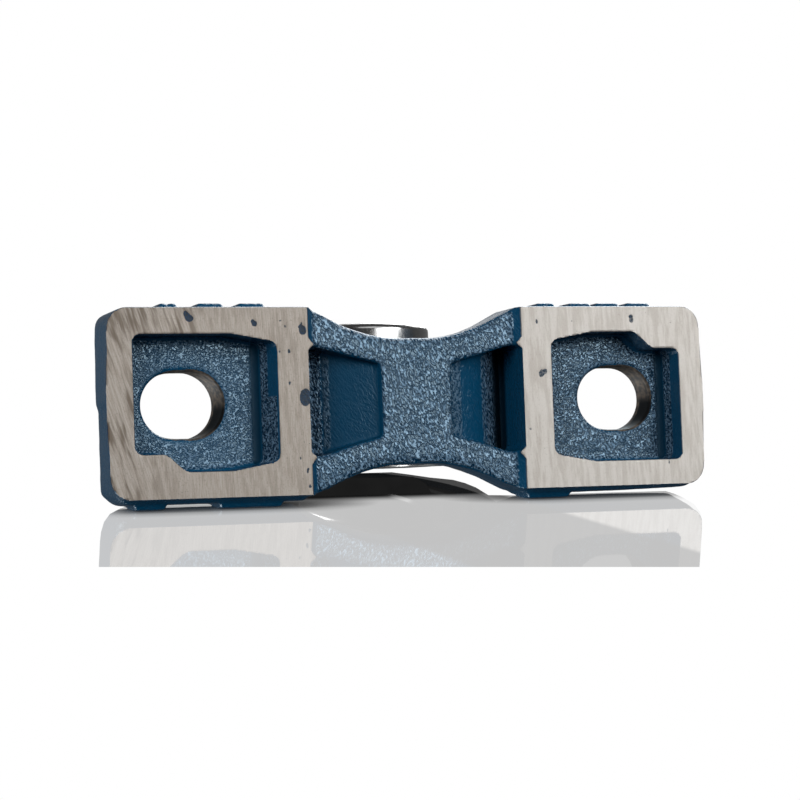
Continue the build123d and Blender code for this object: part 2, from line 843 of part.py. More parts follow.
# The ball rests against the cone behind the mouth
check_ball_height = mouth_inner + nipple_mouth_radius
check_ball_height -= sqrt(2) * (check_ball_radius + check_ball_gap)
with BuildPart() as nipple_check_ball:
    with Locations(nipple_seat.offset(check_ball_height)):
        Sphere(check_ball_radius)
finish(nipple_check_ball, "nipple_check_ball")

spring_base = spring_seat_height + spring_wire_radius + spring_end_gap
spring_reach = check_ball_radius + spring_wire_radius + spring_end_gap
spring_end = check_ball_height - sqrt(spring_reach**2 - spring_radius**2)
spring_length = spring_end - spring_base
with BuildPart() as nipple_spring:
    with BuildLine():
        coil = Helix(
            pitch=spring_length / spring_turns,
            height=spring_length,
            radius=spring_radius,
            center=nipple_seat.offset(spring_base).origin,
            direction=nipple_seat.z_dir,
        )
    with BuildSketch(Plane(origin=coil @ 0, z_dir=coil % 0)):
        Circle(spring_wire_radius)
    sweep()
finish(nipple_spring, "nipple_spring")
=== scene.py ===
"""Looks of a cast pillow block and its ball bearing insert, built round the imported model."""

import logging
from dataclasses import dataclass
from enum import Enum
from functools import reduce
from math import cos, radians, sin
from typing import Sequence, Union

import bmesh
import bpy
import numpy as np
from mathutils import Matrix, Vector
from mathutils.bvhtree import BVHTree


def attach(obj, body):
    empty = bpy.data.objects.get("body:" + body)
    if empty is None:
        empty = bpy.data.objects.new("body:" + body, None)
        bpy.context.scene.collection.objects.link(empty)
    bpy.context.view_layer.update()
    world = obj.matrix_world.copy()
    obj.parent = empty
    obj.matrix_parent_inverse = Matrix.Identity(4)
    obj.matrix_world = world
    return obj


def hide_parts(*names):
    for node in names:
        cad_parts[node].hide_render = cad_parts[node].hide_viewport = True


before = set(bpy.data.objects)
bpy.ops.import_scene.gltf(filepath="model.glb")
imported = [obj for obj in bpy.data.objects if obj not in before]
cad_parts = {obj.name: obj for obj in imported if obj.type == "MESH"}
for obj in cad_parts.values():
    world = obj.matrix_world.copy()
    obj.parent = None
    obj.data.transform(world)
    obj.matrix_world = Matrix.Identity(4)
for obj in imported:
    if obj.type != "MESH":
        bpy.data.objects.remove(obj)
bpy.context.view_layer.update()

MM = 0.001
Colour = tuple[float, float, float]
Point = tuple[float, float, float]
Run = tuple[float, float]
Socket = bpy.types.NodeSocket
Input = Union[Socket, float]
WHITE = (1.0, 1.0, 1.0, 1.0)

# Values that the casting's mesh holds for its finish
CLEARANCE = "blemish_clearance"
TEXTURE = "sand_share"
# Where shade is painted into the pockets' corners and grooves
PAINTED_SHADE = "painted_shade_share"

# How far a point that is relaxed goes each round, as a share of the way
PULL = 0.5

# Numbers that scramble a lattice point's place into its height
LATTICE_KEYS = (73856093, 19349663, 83492791)
SEED_KEY = 2654435761
MIXES = ((13, 1274126177), (16, 2246822519))
WORD = 0xFFFFFFFF
HALF_WORD = 0xFFFF

log = logging.getLogger("pillow_block")


class End(Enum):
    """The two ends of the shaft's axis: the set screws are at the front."""

    FRONT = -1
    BACK = 1


class Steel(Enum):
    """How a steel piece of the unit is finished."""

    GROUND = "ground"
    POLISHED = "polished"
    PRESSED = "pressed"
    ZINC = "zinc plated"
    BLACK = "black oxide"


# --- Node graphs -----------------------------------------------------------------------


class Graph:
    """Lays out the nodes of one material, in millimetres."""

    def __init__(self, name: str) -> None:
        """Starts an empty material.

        Args:
            name: The material's name.
        """
        self.material = bpy.data.materials.new(name)
        self.material.use_nodes = True
        self.tree = self.material.node_tree
        self.tree.nodes.clear()
        self.output = self.tree.nodes.new("ShaderNodeOutputMaterial")
        coordinates = self.tree.nodes.new("ShaderNodeTexCoord")
        scale = self.tree.nodes.new("ShaderNodeVectorMath")
        scale.operation = "SCALE"
        scale.inputs["Scale"].default_value = 1 / MM
        self.tree.links.new(coordinates.outputs["Object"], scale.inputs[0])
        self.place = scale.outputs[0]
        self.facing = self.tree.nodes.new("ShaderNodeNewGeometry").outputs["Normal"]

    def feed(self, target: Socket, value: Input) -> None:
        """Links a socket, or sets its value when it is given a number.

        Args:
            target: The socket.
            value: What it gets.
        """
        if isinstance(value, bpy.types.NodeSocket):
            self.tree.links.new(value, target)
        else:
            target.default_value = value

    def math(self, operation: str, a: Input, b: Input = 0.0) -> Socket:
        """Adds one sum.

        Args:
            operation: The math node's operation.
            a: First value.
            b: Second value, where the operation has one.

        Returns:
            The result.
        """
        node = self.tree.nodes.new("ShaderNodeMath")
        node.operation = operation
        for socket, value in zip(node.inputs, (a, b)):
            self.feed(socket, value)
        return node.outputs[0]

    def times(self, *values: Input) -> Socket:
        """The product of two or more values."""
        return reduce(lambda a, b: self.math("MULTIPLY", a, b), values)

    def plus(self, *values: Input) -> Socket:
        """The sum of two or more values."""
        return reduce(lambda a, b: self.math("ADD", a, b), values)

    def minus(self, a: Input, b: Input) -> Socket:
        """One value less another."""
        return self.math("SUBTRACT", a, b)

    def larger(self, a: Input, b: Input) -> Socket:
        """The larger of two values."""
        return self.math("MAXIMUM", a, b)

    def size(self, value: Input) -> Socket:
        """A value without its sign."""
        return self.math("ABSOLUTE", value)

    def below(self, value: Input, limit: Input) -> Socket:
        """1 where a value is less than a limit, and 0 elsewhere."""
        return self.math("LESS_THAN", value, limit)

    def hypot(self, a: Input, b: Input) -> Socket:
        """The length of a line that has these two parts."""
        return self.math("SQRT", self.plus(self.times(a, a), self.times(b, b)))

    def split(self, vector: Socket) -> tuple[Socket, Socket, Socket]:
        """The three parts of a vector.

        Args:
            vector: The vector.

        Returns:
            Its parts along X, Y and Z.
        """
        node = self.tree.nodes.new("ShaderNodeSeparateXYZ")
        self.tree.links.new(vector, node.inputs[0])
        return node.outputs[0], node.outputs[1], node.outputs[2]

    def moved(self, vector: Socket, turn: float, stretch: Point) -> Socket:
        """Coordinates of a pattern that is turned and drawn out.

        Args:
            vector: The coordinates.
            turn: How far the pattern is turned about the vertical, in degrees.
            stretch: How far it is drawn out along each of its own axes.

        Returns:
            The pattern's own coordinates.
        """
        node = self.tree.nodes.new("ShaderNodeMapping")
        node.vector_type = "TEXTURE"
        self.tree.links.new(vector, node.inputs["Vector"])
        node.inputs["Rotation"].default_value = (0.0, 0.0, radians(turn))
        node.inputs["Scale"].default_value = stretch
        return node.outputs[0]

    def grain(
        self, vector: Socket, size: float, detail: float, rough: float, distort: float
    ) -> Socket:
        """Soft noise whose lumps are about one size across.

        Args:
            vector: Coordinates in millimetres.
            size: Size of the largest lumps, in millimetres.
            detail: How many finer layers are added.
            rough: How strong the finer layers are.
            distort: How far the lumps are bent.

        Returns:
            A value about 0.5.
        """
        node = self.tree.nodes.new("ShaderNodeTexNoise")
        self.tree.links.new(vector, node.inputs["Vector"])
        node.inputs["Scale"].default_value = 1 / size
        node.inputs["Detail"].default_value = detail
        node.inputs["Roughness"].default_value = rough
        node.inputs["Distortion"].default_value = distort
        return node.outputs["Fac"]

    def cells(self, vector: Socket, size: float) -> Socket:
        """Distance to the nearest of many scattered points, in cell widths.

        Args:
            vector: Coordinates in millimetres.
            size: Width of a cell, in millimetres.

        Returns:
            The distance.
        """
        node = self.tree.nodes.new("ShaderNodeTexVoronoi")
        self.tree.links.new(vector, node.inputs["Vector"])
        node.inputs["Scale"].default_value = 1 / size
        return node.outputs["Distance"]

    def span(self, value: Input, run: Run, to: Run = (0.0, 1.0)) -> Socket:
        """Maps a value from one run to another, held at both ends, with a soft start and stop.

        Args:
            value: The value.
            run: The run that it is mapped from.
            to: The run that it is mapped to.

        Returns:
            The mapped value.
        """
        node = self.tree.nodes.new("ShaderNodeMapRange")
        node.interpolation_type = "SMOOTHSTEP"
        for socket, number in zip(node.inputs, (value, *run, *to)):
            self.feed(socket, number)
        return node.outputs[0]

    def fade(self, value: Input, run: Run) -> Socket:
        """1 below a run and 0 above it, with a soft change between."""
        return self.span(value, run, (1.0, 0.0))

    def blend(
        self, share: Input, first: Union[Socket, Colour], second: Union[Socket, Colour]
    ) -> Socket:
        """A colour between two colours.

        Args:
            share: How much of the second colour there is.
            first: First colour.
            second: Second colour.

        Returns:
            The colour.
        """
        node = self.tree.nodes.new("ShaderNodeMix")
        node.data_type = "RGBA"
        self.feed(node.inputs["Factor"], share)
        for socket, colour in ((node.inputs[6], first), (node.inputs[7], second)):
            self.feed(socket, (*colour, 1.0) if isinstance(colour, tuple) else colour)
        return node.outputs[2]

    def between(self, share: Input, first: Input, second: Input) -> Socket:
        """A number between two numbers.

        Args:
            share: How much of the second number there is.
            first: First number.
            second: Second number.

        Returns:
            The number.
        """
        node = self.tree.nodes.new("ShaderNodeMix")
        node.data_type = "FLOAT"
        self.feed(node.inputs["Factor"], share)
        self.feed(node.inputs[2], first)
        self.feed(node.inputs[3], second)
        return node.outputs[0]

    def bump(self, height: Socket, depth: float, under: Union[Socket, None] = None) -> Socket:
        """Relief in the surface.

        Args:
            height: Height from 0 to 1.
            depth: What a height of 1 is, in millimetres.
            under: Relief that this one is laid on.

        Returns:
            The normal.
        """
        node = self.tree.nodes.new("ShaderNodeBump")
        node.inputs["Distance"].default_value = depth * MM
        self.tree.links.new(height, node.inputs["Height"])
        if under is not None:
            self.tree.links.new(under, node.inputs["Normal"])
        return node.outputs[0]

    def painted(self, name: str) -> Socket:
        """A value that the mesh holds at each of its points.

        Args:
            name: The value's name.

        Returns:
            The value.
        """
        node = self.tree.nodes.new("ShaderNodeAttribute")
        node.attribute_name = name
        return node.outputs["Fac"]

    def surface(self, **sockets: Union[Input, Colour]) -> bpy.types.Material:
        """Ends the material with its shader.

        Args:
            sockets: Values or links by the shader's socket name, with _ for a space.

        Returns:
            The material.
        """
        shader = self.tree.nodes.new("ShaderNodeBsdfPrincipled")
        for name, value in sockets.items():
            socket = shader.inputs[name.replace("_", " ")]
            self.feed(socket, (*value, 1.0) if isinstance(value, tuple) else value)
        self.tree.links.new(shader.outputs[0], self.output.inputs["Surface"])
        return self.material


@dataclass(frozen=True)
class Noise:
    """Soft noise: its lumps in millimetres, finer layers, turn in degrees and stretch."""

    size: float
    detail: float = 2.0
    rough: float = 0.5
    distort: float = 0.0
    turn: float = 0.0
    drawn: Point = (1.0, 1.0, 1.0)

    def lay(self, graph: Graph, place: Union[Socket, None] = None) -> Socket:
        """Lays the pattern in a material.

        Args:
            graph: The material's graph.
            place: Coordinates in millimetres, if they aren't the object's own.

        Returns:
            A value about 0.5.
        """
        place = place or graph.place
        if self.turn or self.drawn != (1.0, 1.0, 1.0):
            place = graph.moved(place, self.turn, self.drawn)
        return graph.grain(place, self.size, self.detail, self.rough, self.distort)


# --- Finishes --------------------------------------------------------------------------


@dataclass(frozen=True)
class Blemish:
    """A painted spot of a sole that the cutter missed: its middle, widths and turn in degrees."""

    x: float
    y: float
    across: float
    along: float
    turn: float = 0.0


@dataclass(frozen=True)
class CastPaint:
    """Enamel over a sand casting, cut away to bare iron where it is machined. In millimetres."""

    deep: Colour = (0.0010, 0.043, 0.098)
    # Painted shade on the coarse sand print, left in its hollows
    hollow: Colour = (0.0005, 0.012, 0.032)
    # Painted highlight on the high spots of the sand's print
    light: Colour = (0.130, 0.215, 0.310)
    # Painted shade in the corners and grooves of the pockets
    painted_shade: Colour = (0.0008, 0.0045, 0.009)
    gleam: Colour = (0.60, 0.84, 1.0)
    iron: Colour = (0.290, 0.250, 0.212)
    iron_bright: Colour = (0.400, 0.362, 0.322)
    # Painted light on the milled iron: paler, and a painted sheen, towards the right foot
    iron_painted_light: Colour = (0.49, 0.46, 0.425)
    iron_painted_sheen: Colour = (0.60, 0.58, 0.55)
    iron_brown: Colour = (0.150, 0.118, 0.090)
    slot_iron: Colour = (0.060, 0.053, 0.048)
    seat_iron: Colour = (0.230, 0.222, 0.212)
    # Painted shade on one side of the slots' walls
    slot_shade: Colour = (0.012, 0.010, 0.009)
    pore: Colour = (0.020, 0.018, 0.020)
    chip: Colour = (0.010, 0.018, 0.042)
    chip_pale: Colour = (0.150, 0.145, 0.145)

    # Where the metal is bare
    shaft_height: float = 42.9
    seat_reach: float = 32.2
    sole_top: float = 0.14
    looks_down: Run = (-0.85, -0.6)
    fray: Noise = Noise(0.9, 3.0, 0.65)
    blemish_fray: float = 0.5
    blemish_edge: Run = (0.22, 0.34)
    slot_centre: float = 60.5
    slot_straight: float = 1.5
    slot_edge: float = 8.75
    slot_wear: float = 0.85
    slot_wear_run: Run = (0.0, 5.0)
    slot_fray: float = 0.3
    slot_wall: float = 0.9

    # The sand's print
    waist_edge: Run = (29.0, 31.0)
    ridges: Noise = Noise(0.60, 1.0, 0.5, 0.1, turn=62.0, drawn=(1.70, 0.82, 1.0))
    grains: Noise = Noise(0.55, 1.0, 0.5, 0.1)
    print_run: Run = (0.38, 0.62)
    print_depth: float = 0.36

    # Streaks, stains, flecks and pores of the milled iron
    end_slant: float = 0.35
    end_run: Run = (-71.0, -58.0)
    streaks: Noise = Noise(1.0, 5.0, 0.7, turn=-2.0, drawn=(0.26, 5.0, 1.0))
    end_streaks: Noise = Noise(1.0, 4.0, 0.6, turn=-17.0, drawn=(0.45, 7.0, 1.0))
    bands: Noise = Noise(2.0, 3.0, 0.65, turn=-3.0, drawn=(0.8, 6.0, 1.0))
    end_bands: Noise = Noise(2.4, 3.0, 0.6, turn=-17.0, drawn=(1.0, 8.0, 1.0))
    flecks: Noise = Noise(0.42, 2.0, 0.7, drawn=(0.6, 1.3, 1.0))
    streak_run: Run = (0.32, 0.66)
    streak_depth: float = 0.03
    streak_rough: float = 0.2
    stain_run: Run = (0.44, 0.62)
    stain_share: Run = (0.30, 1.0)
    # Painted light: paler towards the right foot, with a painted sheen in patches
    painted_light_run: Run = (-6.0, 44.0)
    painted_light_share: Run = (0.0, 0.66)
    painted_sheen_run: Run = (0.40, 0.60)
    painted_sheen_share: float = 0.4
    fleck_run: Run = (0.54, 0.72)
    fleck_share: Run = (0.55, 0.25)
    pore_cell: float = 1.5
    pore_run: Run = (0.04, 0.10)
    pore_patch: float = -34.5
    pore_patch_half: Run = (2.0, 5.0)
    pore_patch_y: Run = (9.0, 14.0)
    pore_clouds: Noise = Noise(6.0)
    pore_cloud_run: Run = (0.56, 0.64)
    pore_share: float = 0.85
    iron_rough: float = 0.47
    iron_metallic: float = 0.55

    # Tones of the enamel
    broad: Noise = Noise(5.0)
    broad_run: Run = (0.3, 0.7)
    broad_share: Run = (0.8, 1.2)
    calm_run: Run = (0.1, 0.5)
    calm_share: Run = (0.09, 0.0)
    body_run: Run = (15.0, 24.0)
    body_share: Run = (1.0, 0.5)
    smooth_run: Run = (0.35, 0.7)
    smooth_share: float = 0.25
    # How far the painted shade in the corners goes to its dark colour
    painted_shade_most: float = 0.93
    gloss: Run = (0.24, 0.16)
    gloss_level: float = 0.6
    matt: float = 0.62

    # What the cutter missed on the feet
    missed_top: float = 0.3
    missed: Noise = Noise(0.5)
    missed_run: Run = (0.4, 0.6)
    missed_pale_run: Run = (20.0, 40.0)
    missed_share: float = 0.95

    # The slots, with painted shade on one side of their walls, and the seat's mouths between them
    rust: Noise = Noise(1.2, 3.0)
    rust_run: Run = (0.35, 0.7)
    slot_shade_from: Run = (-1.0, 1.5)
    slot_shade_to: Run = (5.5, 8.2)
    foot_top: float = 15.0
    seat_side: float = 40.0

    def bare(
        self, graph: Graph, x: Socket, y: Socket, z: Socket, up: Socket
    ) -> tuple[Socket, Socket]:
        """Where the metal is bare: the two feet, the slots and all inside the seat's mouths.

        Args:
            graph: The material's graph.
            x: Place along the base.
            y: Place along the shaft.
            z: Height.
            up: How far the surface faces up.

        Returns:
            The share of bare metal on the feet, and everywhere else.
        """
        fray = self.fray.lay(graph)
        sole = graph.times(graph.below(z, self.sole_top), graph.fade(up, self.looks_down))
        clearance = graph.plus(graph.painted(CLEARANCE), graph.times(fray, self.blemish_fray))
        sole = graph.times(sole, graph.span(clearance, self.blemish_edge))
        seat = graph.below(graph.hypot(x, graph.minus(z, self.shaft_height)), self.seat_reach)
        along = graph.minus(x, graph.times(graph.math("SIGN", x), self.slot_centre))
        beyond = graph.larger(graph.minus(graph.size(along), self.slot_straight), 0.0)
        worn = graph.times(graph.span(along, self.slot_wear_run), self.slot_wear)
        edge = graph.plus(worn, self.slot_edge, graph.times(fray, self.slot_fray))
        slot = graph.times(
            graph.below(graph.hypot(beyond, y), edge), graph.below(graph.size(up), self.slot_wall)
        )
        return sole, graph.larger(seat, slot)

    def sand(self, graph: Graph, x: Socket) -> Socket:
        """The sand's print under the enamel: grains, which run into slanting ridges on the waist.

        Args:
            graph: The material's graph.
            x: Place along the base.

        Returns:
            The print's height, from 0 to 1.
        """
        waist = graph.fade(graph.size(x), self.waist_edge)
        print_height = graph.between(waist, self.grains.lay(graph), self.ridges.lay(graph))
        return graph.span(print_height, self.print_run)

    def milled(self, graph: Graph, x: Socket, y: Socket) -> tuple[Socket, Socket]:
        """Milled iron: cutter streaks, stains, flecks, pores, and painted light and sheen on the
        right.

        Args:
            graph: The material's graph.
            x: Place along the base.
            y: Place along the shaft.

        Returns:
            Its colour, and the streaks.
        """
        end = graph.fade(graph.plus(x, graph.times(y, self.end_slant)), self.end_run)
        streaks = graph.between(end, self.streaks.lay(graph), self.end_streaks.lay(graph))
        bands = graph.between(end, self.bands.lay(graph), self.end_bands.lay(graph))
        metal = graph.blend(graph.span(streaks, self.streak_run), self.iron, self.iron_bright)
        stain = graph.times(
            graph.span(bands, self.stain_run), graph.between(end, *self.stain_share)
        )
        metal = graph.blend(stain, metal, self.iron_brown)

        # Painted light: paler towards the right foot, which catches more light, with a painted sheen
        # in patches there
        right = graph.span(x, self.painted_light_run)
        metal = graph.blend(graph.between(right, *self.painted_light_share), metal, self.iron_painted_light)
        painted_sheen = graph.times(graph.fade(bands, self.painted_sheen_run), right, self.painted_sheen_share)
        metal = graph.blend(painted_sheen, metal, self.iron_painted_sheen)
        fleck = graph.times(
            graph.span(self.flecks.lay(graph), self.fleck_run),
            graph.between(right, *self.fleck_share),
        )
        metal = graph.blend(fleck, metal, self.iron_brown)

        # Pores, close together in clouds and in one patch
        pores = graph.fade(graph.cells(graph.place, self.pore_cell), self.pore_run)
        near = graph.fade(graph.size(graph.minus(x, self.pore_patch)), self.pore_patch_half)
        patch = graph.times(near, graph.span(y, self.pore_patch_y))
        clouds = graph.span(self.pore_clouds.lay(graph), self.pore_cloud_run)
        pores = graph.times(pores, graph.larger(clouds, patch), self.pore_share)
        return graph.blend(pores, metal, self.pore), streaks

    def inside(self, graph: Graph, x: Socket, y: Socket, z: Socket) -> Socket:
        """Iron in the slots, with painted shade on one side, and in the seat's mouths.

        Args:
            graph: The material's graph.
            x: Place along the base.
            y: Place along the shaft.
            z: Height.

        Returns:
            Its colour.
        """
        rust = graph.span(self.rust.lay(graph), self.rust_run)
        colour = graph.blend(rust, self.slot_iron, self.iron_brown)
        # Painted shade on one side of the slots' walls, below the feet's tops
        slot_shaded = graph.times(graph.span(y, self.slot_shade_from), graph.fade(y, self.slot_shade_to))
        slot_shaded = graph.times(slot_shaded, graph.below(z, self.foot_top))
        colour = graph.blend(slot_shaded, colour, self.slot_shade)
        return graph.blend(graph.below(graph.size(x), self.seat_side), colour, self.seat_iron)

    def build(self) -> bpy.types.Material:
        """Makes the finish.

        Returns:
            The material.
        """
        graph = Graph("painted_casting")
        x, y, z = graph.split(graph.place)
        _, _, up = graph.split(graph.facing)
        sole, other = self.bare(graph, x, y, z, up)
        bare = graph.larger(sole, other)
        print_height = self.sand(graph, x)
        broad = self.broad.lay(graph)
        share = graph.times(
            graph.painted(TEXTURE), graph.span(broad, self.broad_run, self.broad_share)
        )
        # Painted shade in the pockets' corners, as the mesh holds it
        painted_shade = graph.painted(PAINTED_SHADE)

        # Enamel: painted shade over the sand's print with a painted highlight on its high spots, and
        # painted shade in the corners
        # How strongly the painted shade and highlight of the print show
        painted_relief_light = graph.minus(share, graph.span(share, self.calm_run, self.calm_share))
        painted_relief_light = graph.times(painted_relief_light, graph.span(z, self.body_run, self.body_share))
        paint = graph.blend(painted_relief_light, self.deep, self.hollow)
        paint = graph.blend(graph.times(print_height, painted_relief_light), paint, self.light)
        smooth = graph.times(graph.span(broad, self.smooth_run), self.smooth_share)
        paint = graph.blend(smooth, paint, self.deep)
        paint = graph.blend(graph.times(painted_shade, self.painted_shade_most), paint, self.painted_shade)

        # What the cutter missed: paint that it has scraped
        missed = graph.times(graph.below(z, self.missed_top), graph.fade(up, self.looks_down))
        chips = graph.blend(
            graph.span(self.missed.lay(graph), self.missed_run), self.chip, self.pore
        )
        pale = graph.times(graph.span(x, self.missed_pale_run), print_height)
        chips = graph.blend(pale, chips, self.chip_pale)
        paint = graph.blend(graph.times(missed, self.missed_share), paint, chips)

        metal, streaks = self.milled(graph, x, y)
        metal = graph.blend(other, metal, self.inside(graph, x, y, z))
        enamel_rough = graph.between(
            graph.larger(missed, painted_shade), graph.between(share, *self.gloss), self.matt
        )
        metal_rough = graph.plus(graph.times(streaks, self.streak_rough), self.iron_rough)

        # Relief: the sand's print under the enamel, fine cutter marks on the iron
        height = graph.times(print_height, share, graph.minus(1.0, bare))
        normal = graph.bump(height, self.print_depth)
        normal = graph.bump(graph.times(streaks, bare), self.streak_depth, normal)
        return graph.surface(
            Base_Color=graph.blend(bare, paint, metal),
            Metallic=graph.times(bare, self.iron_metallic),
            Roughness=graph.between(bare, enamel_rough, metal_rough),
            Normal=normal,
            Specular_IOR_Level=self.gloss_level,
            Specular_Tint=self.gleam,
        )


@dataclass(frozen=True)
class SteelFinish:
    """Steel, with the marks that its finish leaves round the shaft's axis. In millimetres."""

    kind: Steel
    colour: Colour
    worn: Colour
    rough: float
    shaft_height: float = 42.9
    rings: Noise = Noise(0.12, 3.0, 0.7)
    specks: Noise = Noise(0.35, 2.0, 0.6)
    clouds: Noise = Noise(4.0, 3.0, 0.55)
    cloud_run: Run = (0.35, 0.75)
    mark_rough: float = 0.16
    ring_depth: float = 0.004
    speck_depth: float = 0.012

    def build(self) -> bpy.types.Material:
        """Makes the finish.

        Returns:
            The material.
        """
        graph = Graph(f"steel_{self.kind.name.lower()}")
        x, y, z = graph.split(graph.place)
        if self.kind in (Steel.GROUND, Steel.POLISHED):
            join = graph.tree.nodes.new("ShaderNodeCombineXYZ")
            reach = graph.hypot(x, graph.minus(z, self.shaft_height))
            graph.tree.links.new(reach, join.inputs[0])
            graph.tree.links.new(y, join.inputs[1])
            marks, depth = self.rings.lay(graph, join.outputs[0]), self.ring_depth
        else:
            marks, depth = self.specks.lay(graph), self.speck_depth
        clouds = graph.span(self.clouds.lay(graph), self.cloud_run)
        return graph.surface(
            Base_Color=graph.blend(clouds, self.colour, self.worn),
            Metallic=1.0,
            Roughness=graph.plus(
                graph.times(marks, self.mark_rough), self.rough - self.mark_rough / 2
            ),
            Normal=graph.bump(marks, depth),
        )


@dataclass(frozen=True)
class SealRubber:
    """Moulded black rubber, a little dusty. In millimetres."""

    colour: Colour = (0.012, 0.012, 0.013)
    dusty: Colour = (0.035, 0.034, 0.033)
    dust: Noise = Noise(3.0, 3.0, 0.6)
    dust_run: Run = (0.4, 0.75)
    dust_rough: float = 0.25
    rough: float = 0.42
    grain: Noise = Noise(0.25)
    grain_depth: float = 0.01

    def build(self) -> bpy.types.Material:
        """Makes the finish.

        Returns:
            The material.
        """
        graph = Graph("seal_rubber")
        dust = self.dust.lay(graph)
        return graph.surface(
            Base_Color=graph.blend(graph.span(dust, self.dust_run), self.colour, self.dusty),
            Roughness=graph.plus(graph.times(dust, self.dust_rough), self.rough),
            Normal=graph.bump(self.grain.lay(graph), self.grain_depth),
        )


# --- Mesh work -------------------------------------------------------------------------


def new_piece(name: str, mesh: bpy.types.Mesh, material: bpy.types.Material) -> bpy.types.Object:
    """Puts a mesh in the scene with its finish.

    Args:
        name: The piece's name.
        mesh: Its mesh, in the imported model's frame.
        material: Its finish.

    Returns:
        The object.
    """
    mesh.materials.clear()
    mesh.materials.append(material)
    piece = bpy.data.objects.new(name, mesh)
    bpy.context.scene.collection.objects.link(piece)
    return piece


def in_metres(x: float, y: float, z: float) -> Vector:
    """A place or size that is given in millimetres."""
    return Vector((x * MM, y * MM, z * MM))


def read_points(mesh: bpy.types.Mesh, what: str = "co") -> np.ndarray:
    """Reads a vector from each of a mesh's points.

    Args:
        mesh: The mesh.
        what: The vector's name: the point's place, or its normal.

    Returns:
        The vectors as rows.
    """
    flat = np.empty(len(mesh.vertices) * 3, np.float32)
    mesh.vertices.foreach_get(what, flat)
    return flat.reshape(-1, 3).astype(float)


def write_points(mesh: bpy.types.Mesh, points: np.ndarray) -> None:
    """Sets the places of a mesh's points."""
    mesh.vertices.foreach_set("co", points.astype(np.float32).ravel())
    mesh.update()


def lumps(points: np.ndarray, size: float, seed: int) -> np.ndarray:
    """Smooth noise from -1 to 1 at each point.

    Args:
        points: Points in metres.
        size: Width of a lump, in metres.
        seed: Picks one pattern.

    Returns:
        One value a point.
    """
    scaled = points / size
    base = np.floor(scaled).astype(np.int64)
    share = scaled - base
    share = share * share * (3 - 2 * share)
    total = np.zeros(len(points))
    for corner in range(8):
        step = np.array([corner & 1, corner >> 1 & 1, corner >> 2 & 1])
        key = (base + step) @ np.array(LATTICE_KEYS) + seed * SEED_KEY
        for shift, factor in MIXES:
            key = (key ^ (key >> shift)) * factor & WORD
        value = (key & HALF_WORD) / (HALF_WORD / 2) - 1
        total += value * np.prod(np.where(step, share, 1 - share), axis=1)
    return total


def ramp(value: np.ndarray, start: float, stop: float) -> np.ndarray:
    """0 up to one value and 1 from another, with a soft run between them."""
    share = np.clip((value - start) / (stop - start), 0, 1)
    return share * share * (3 - 2 * share)


def window(value: np.ndarray, low: float, high: float, soft: float = 0.4) -> np.ndarray:
    """1 between two values and 0 outside them, with soft ends."""
    start = ramp(value, low - soft / 2, low + soft / 2)
    return start * ramp(value, high + soft / 2, high - soft / 2)


def relax(points: np.ndarray, edges: np.ndarray, freedom: np.ndarray, rounds: int) -> np.ndarray:
    """Draws each point towards the middle of its neighbours, which rounds sharp edges.

    Args:
        points: Points in metres.
        edges: Pairs of points.
        freedom: How far each point may follow, from 0 to 1.
        rounds: How many times.

    Returns:
        The new points.
    """
    count = len(points)
    first, second = edges.T
    degree = np.maximum(np.bincount(edges.ravel(), minlength=count), 1)
    points = points.copy()
    for _ in range(rounds):
        for value in points.T:
            total = np.bincount(first, value[second], count)
            total += np.bincount(second, value[first], count)
            value += PULL * freedom * (total / degree - value)
    return points


# --- Sub-assemblies --------------------------------------------------------------------


@dataclass(frozen=True)
class Patch:
    """A stretch of cast floor or wall: its runs along the base and up, and its ends' softness."""

    x: Run
    z: Run
    soft: float = 0.4

    def floor(self, x: np.ndarray, z: np.ndarray) -> np.ndarray:
        """1 on the patch and 0 off it, with soft ends along the base alone."""
        return window(x, *self.x, self.soft) * (z > self.z[0]) * (z < self.z[1])

    def wall(self, x: np.ndarray, z: np.ndarray) -> np.ndarray:
        """1 on the patch and 0 off it, with soft ends both ways."""
        return window(x, *self.x, self.soft) * window(z, *self.z)


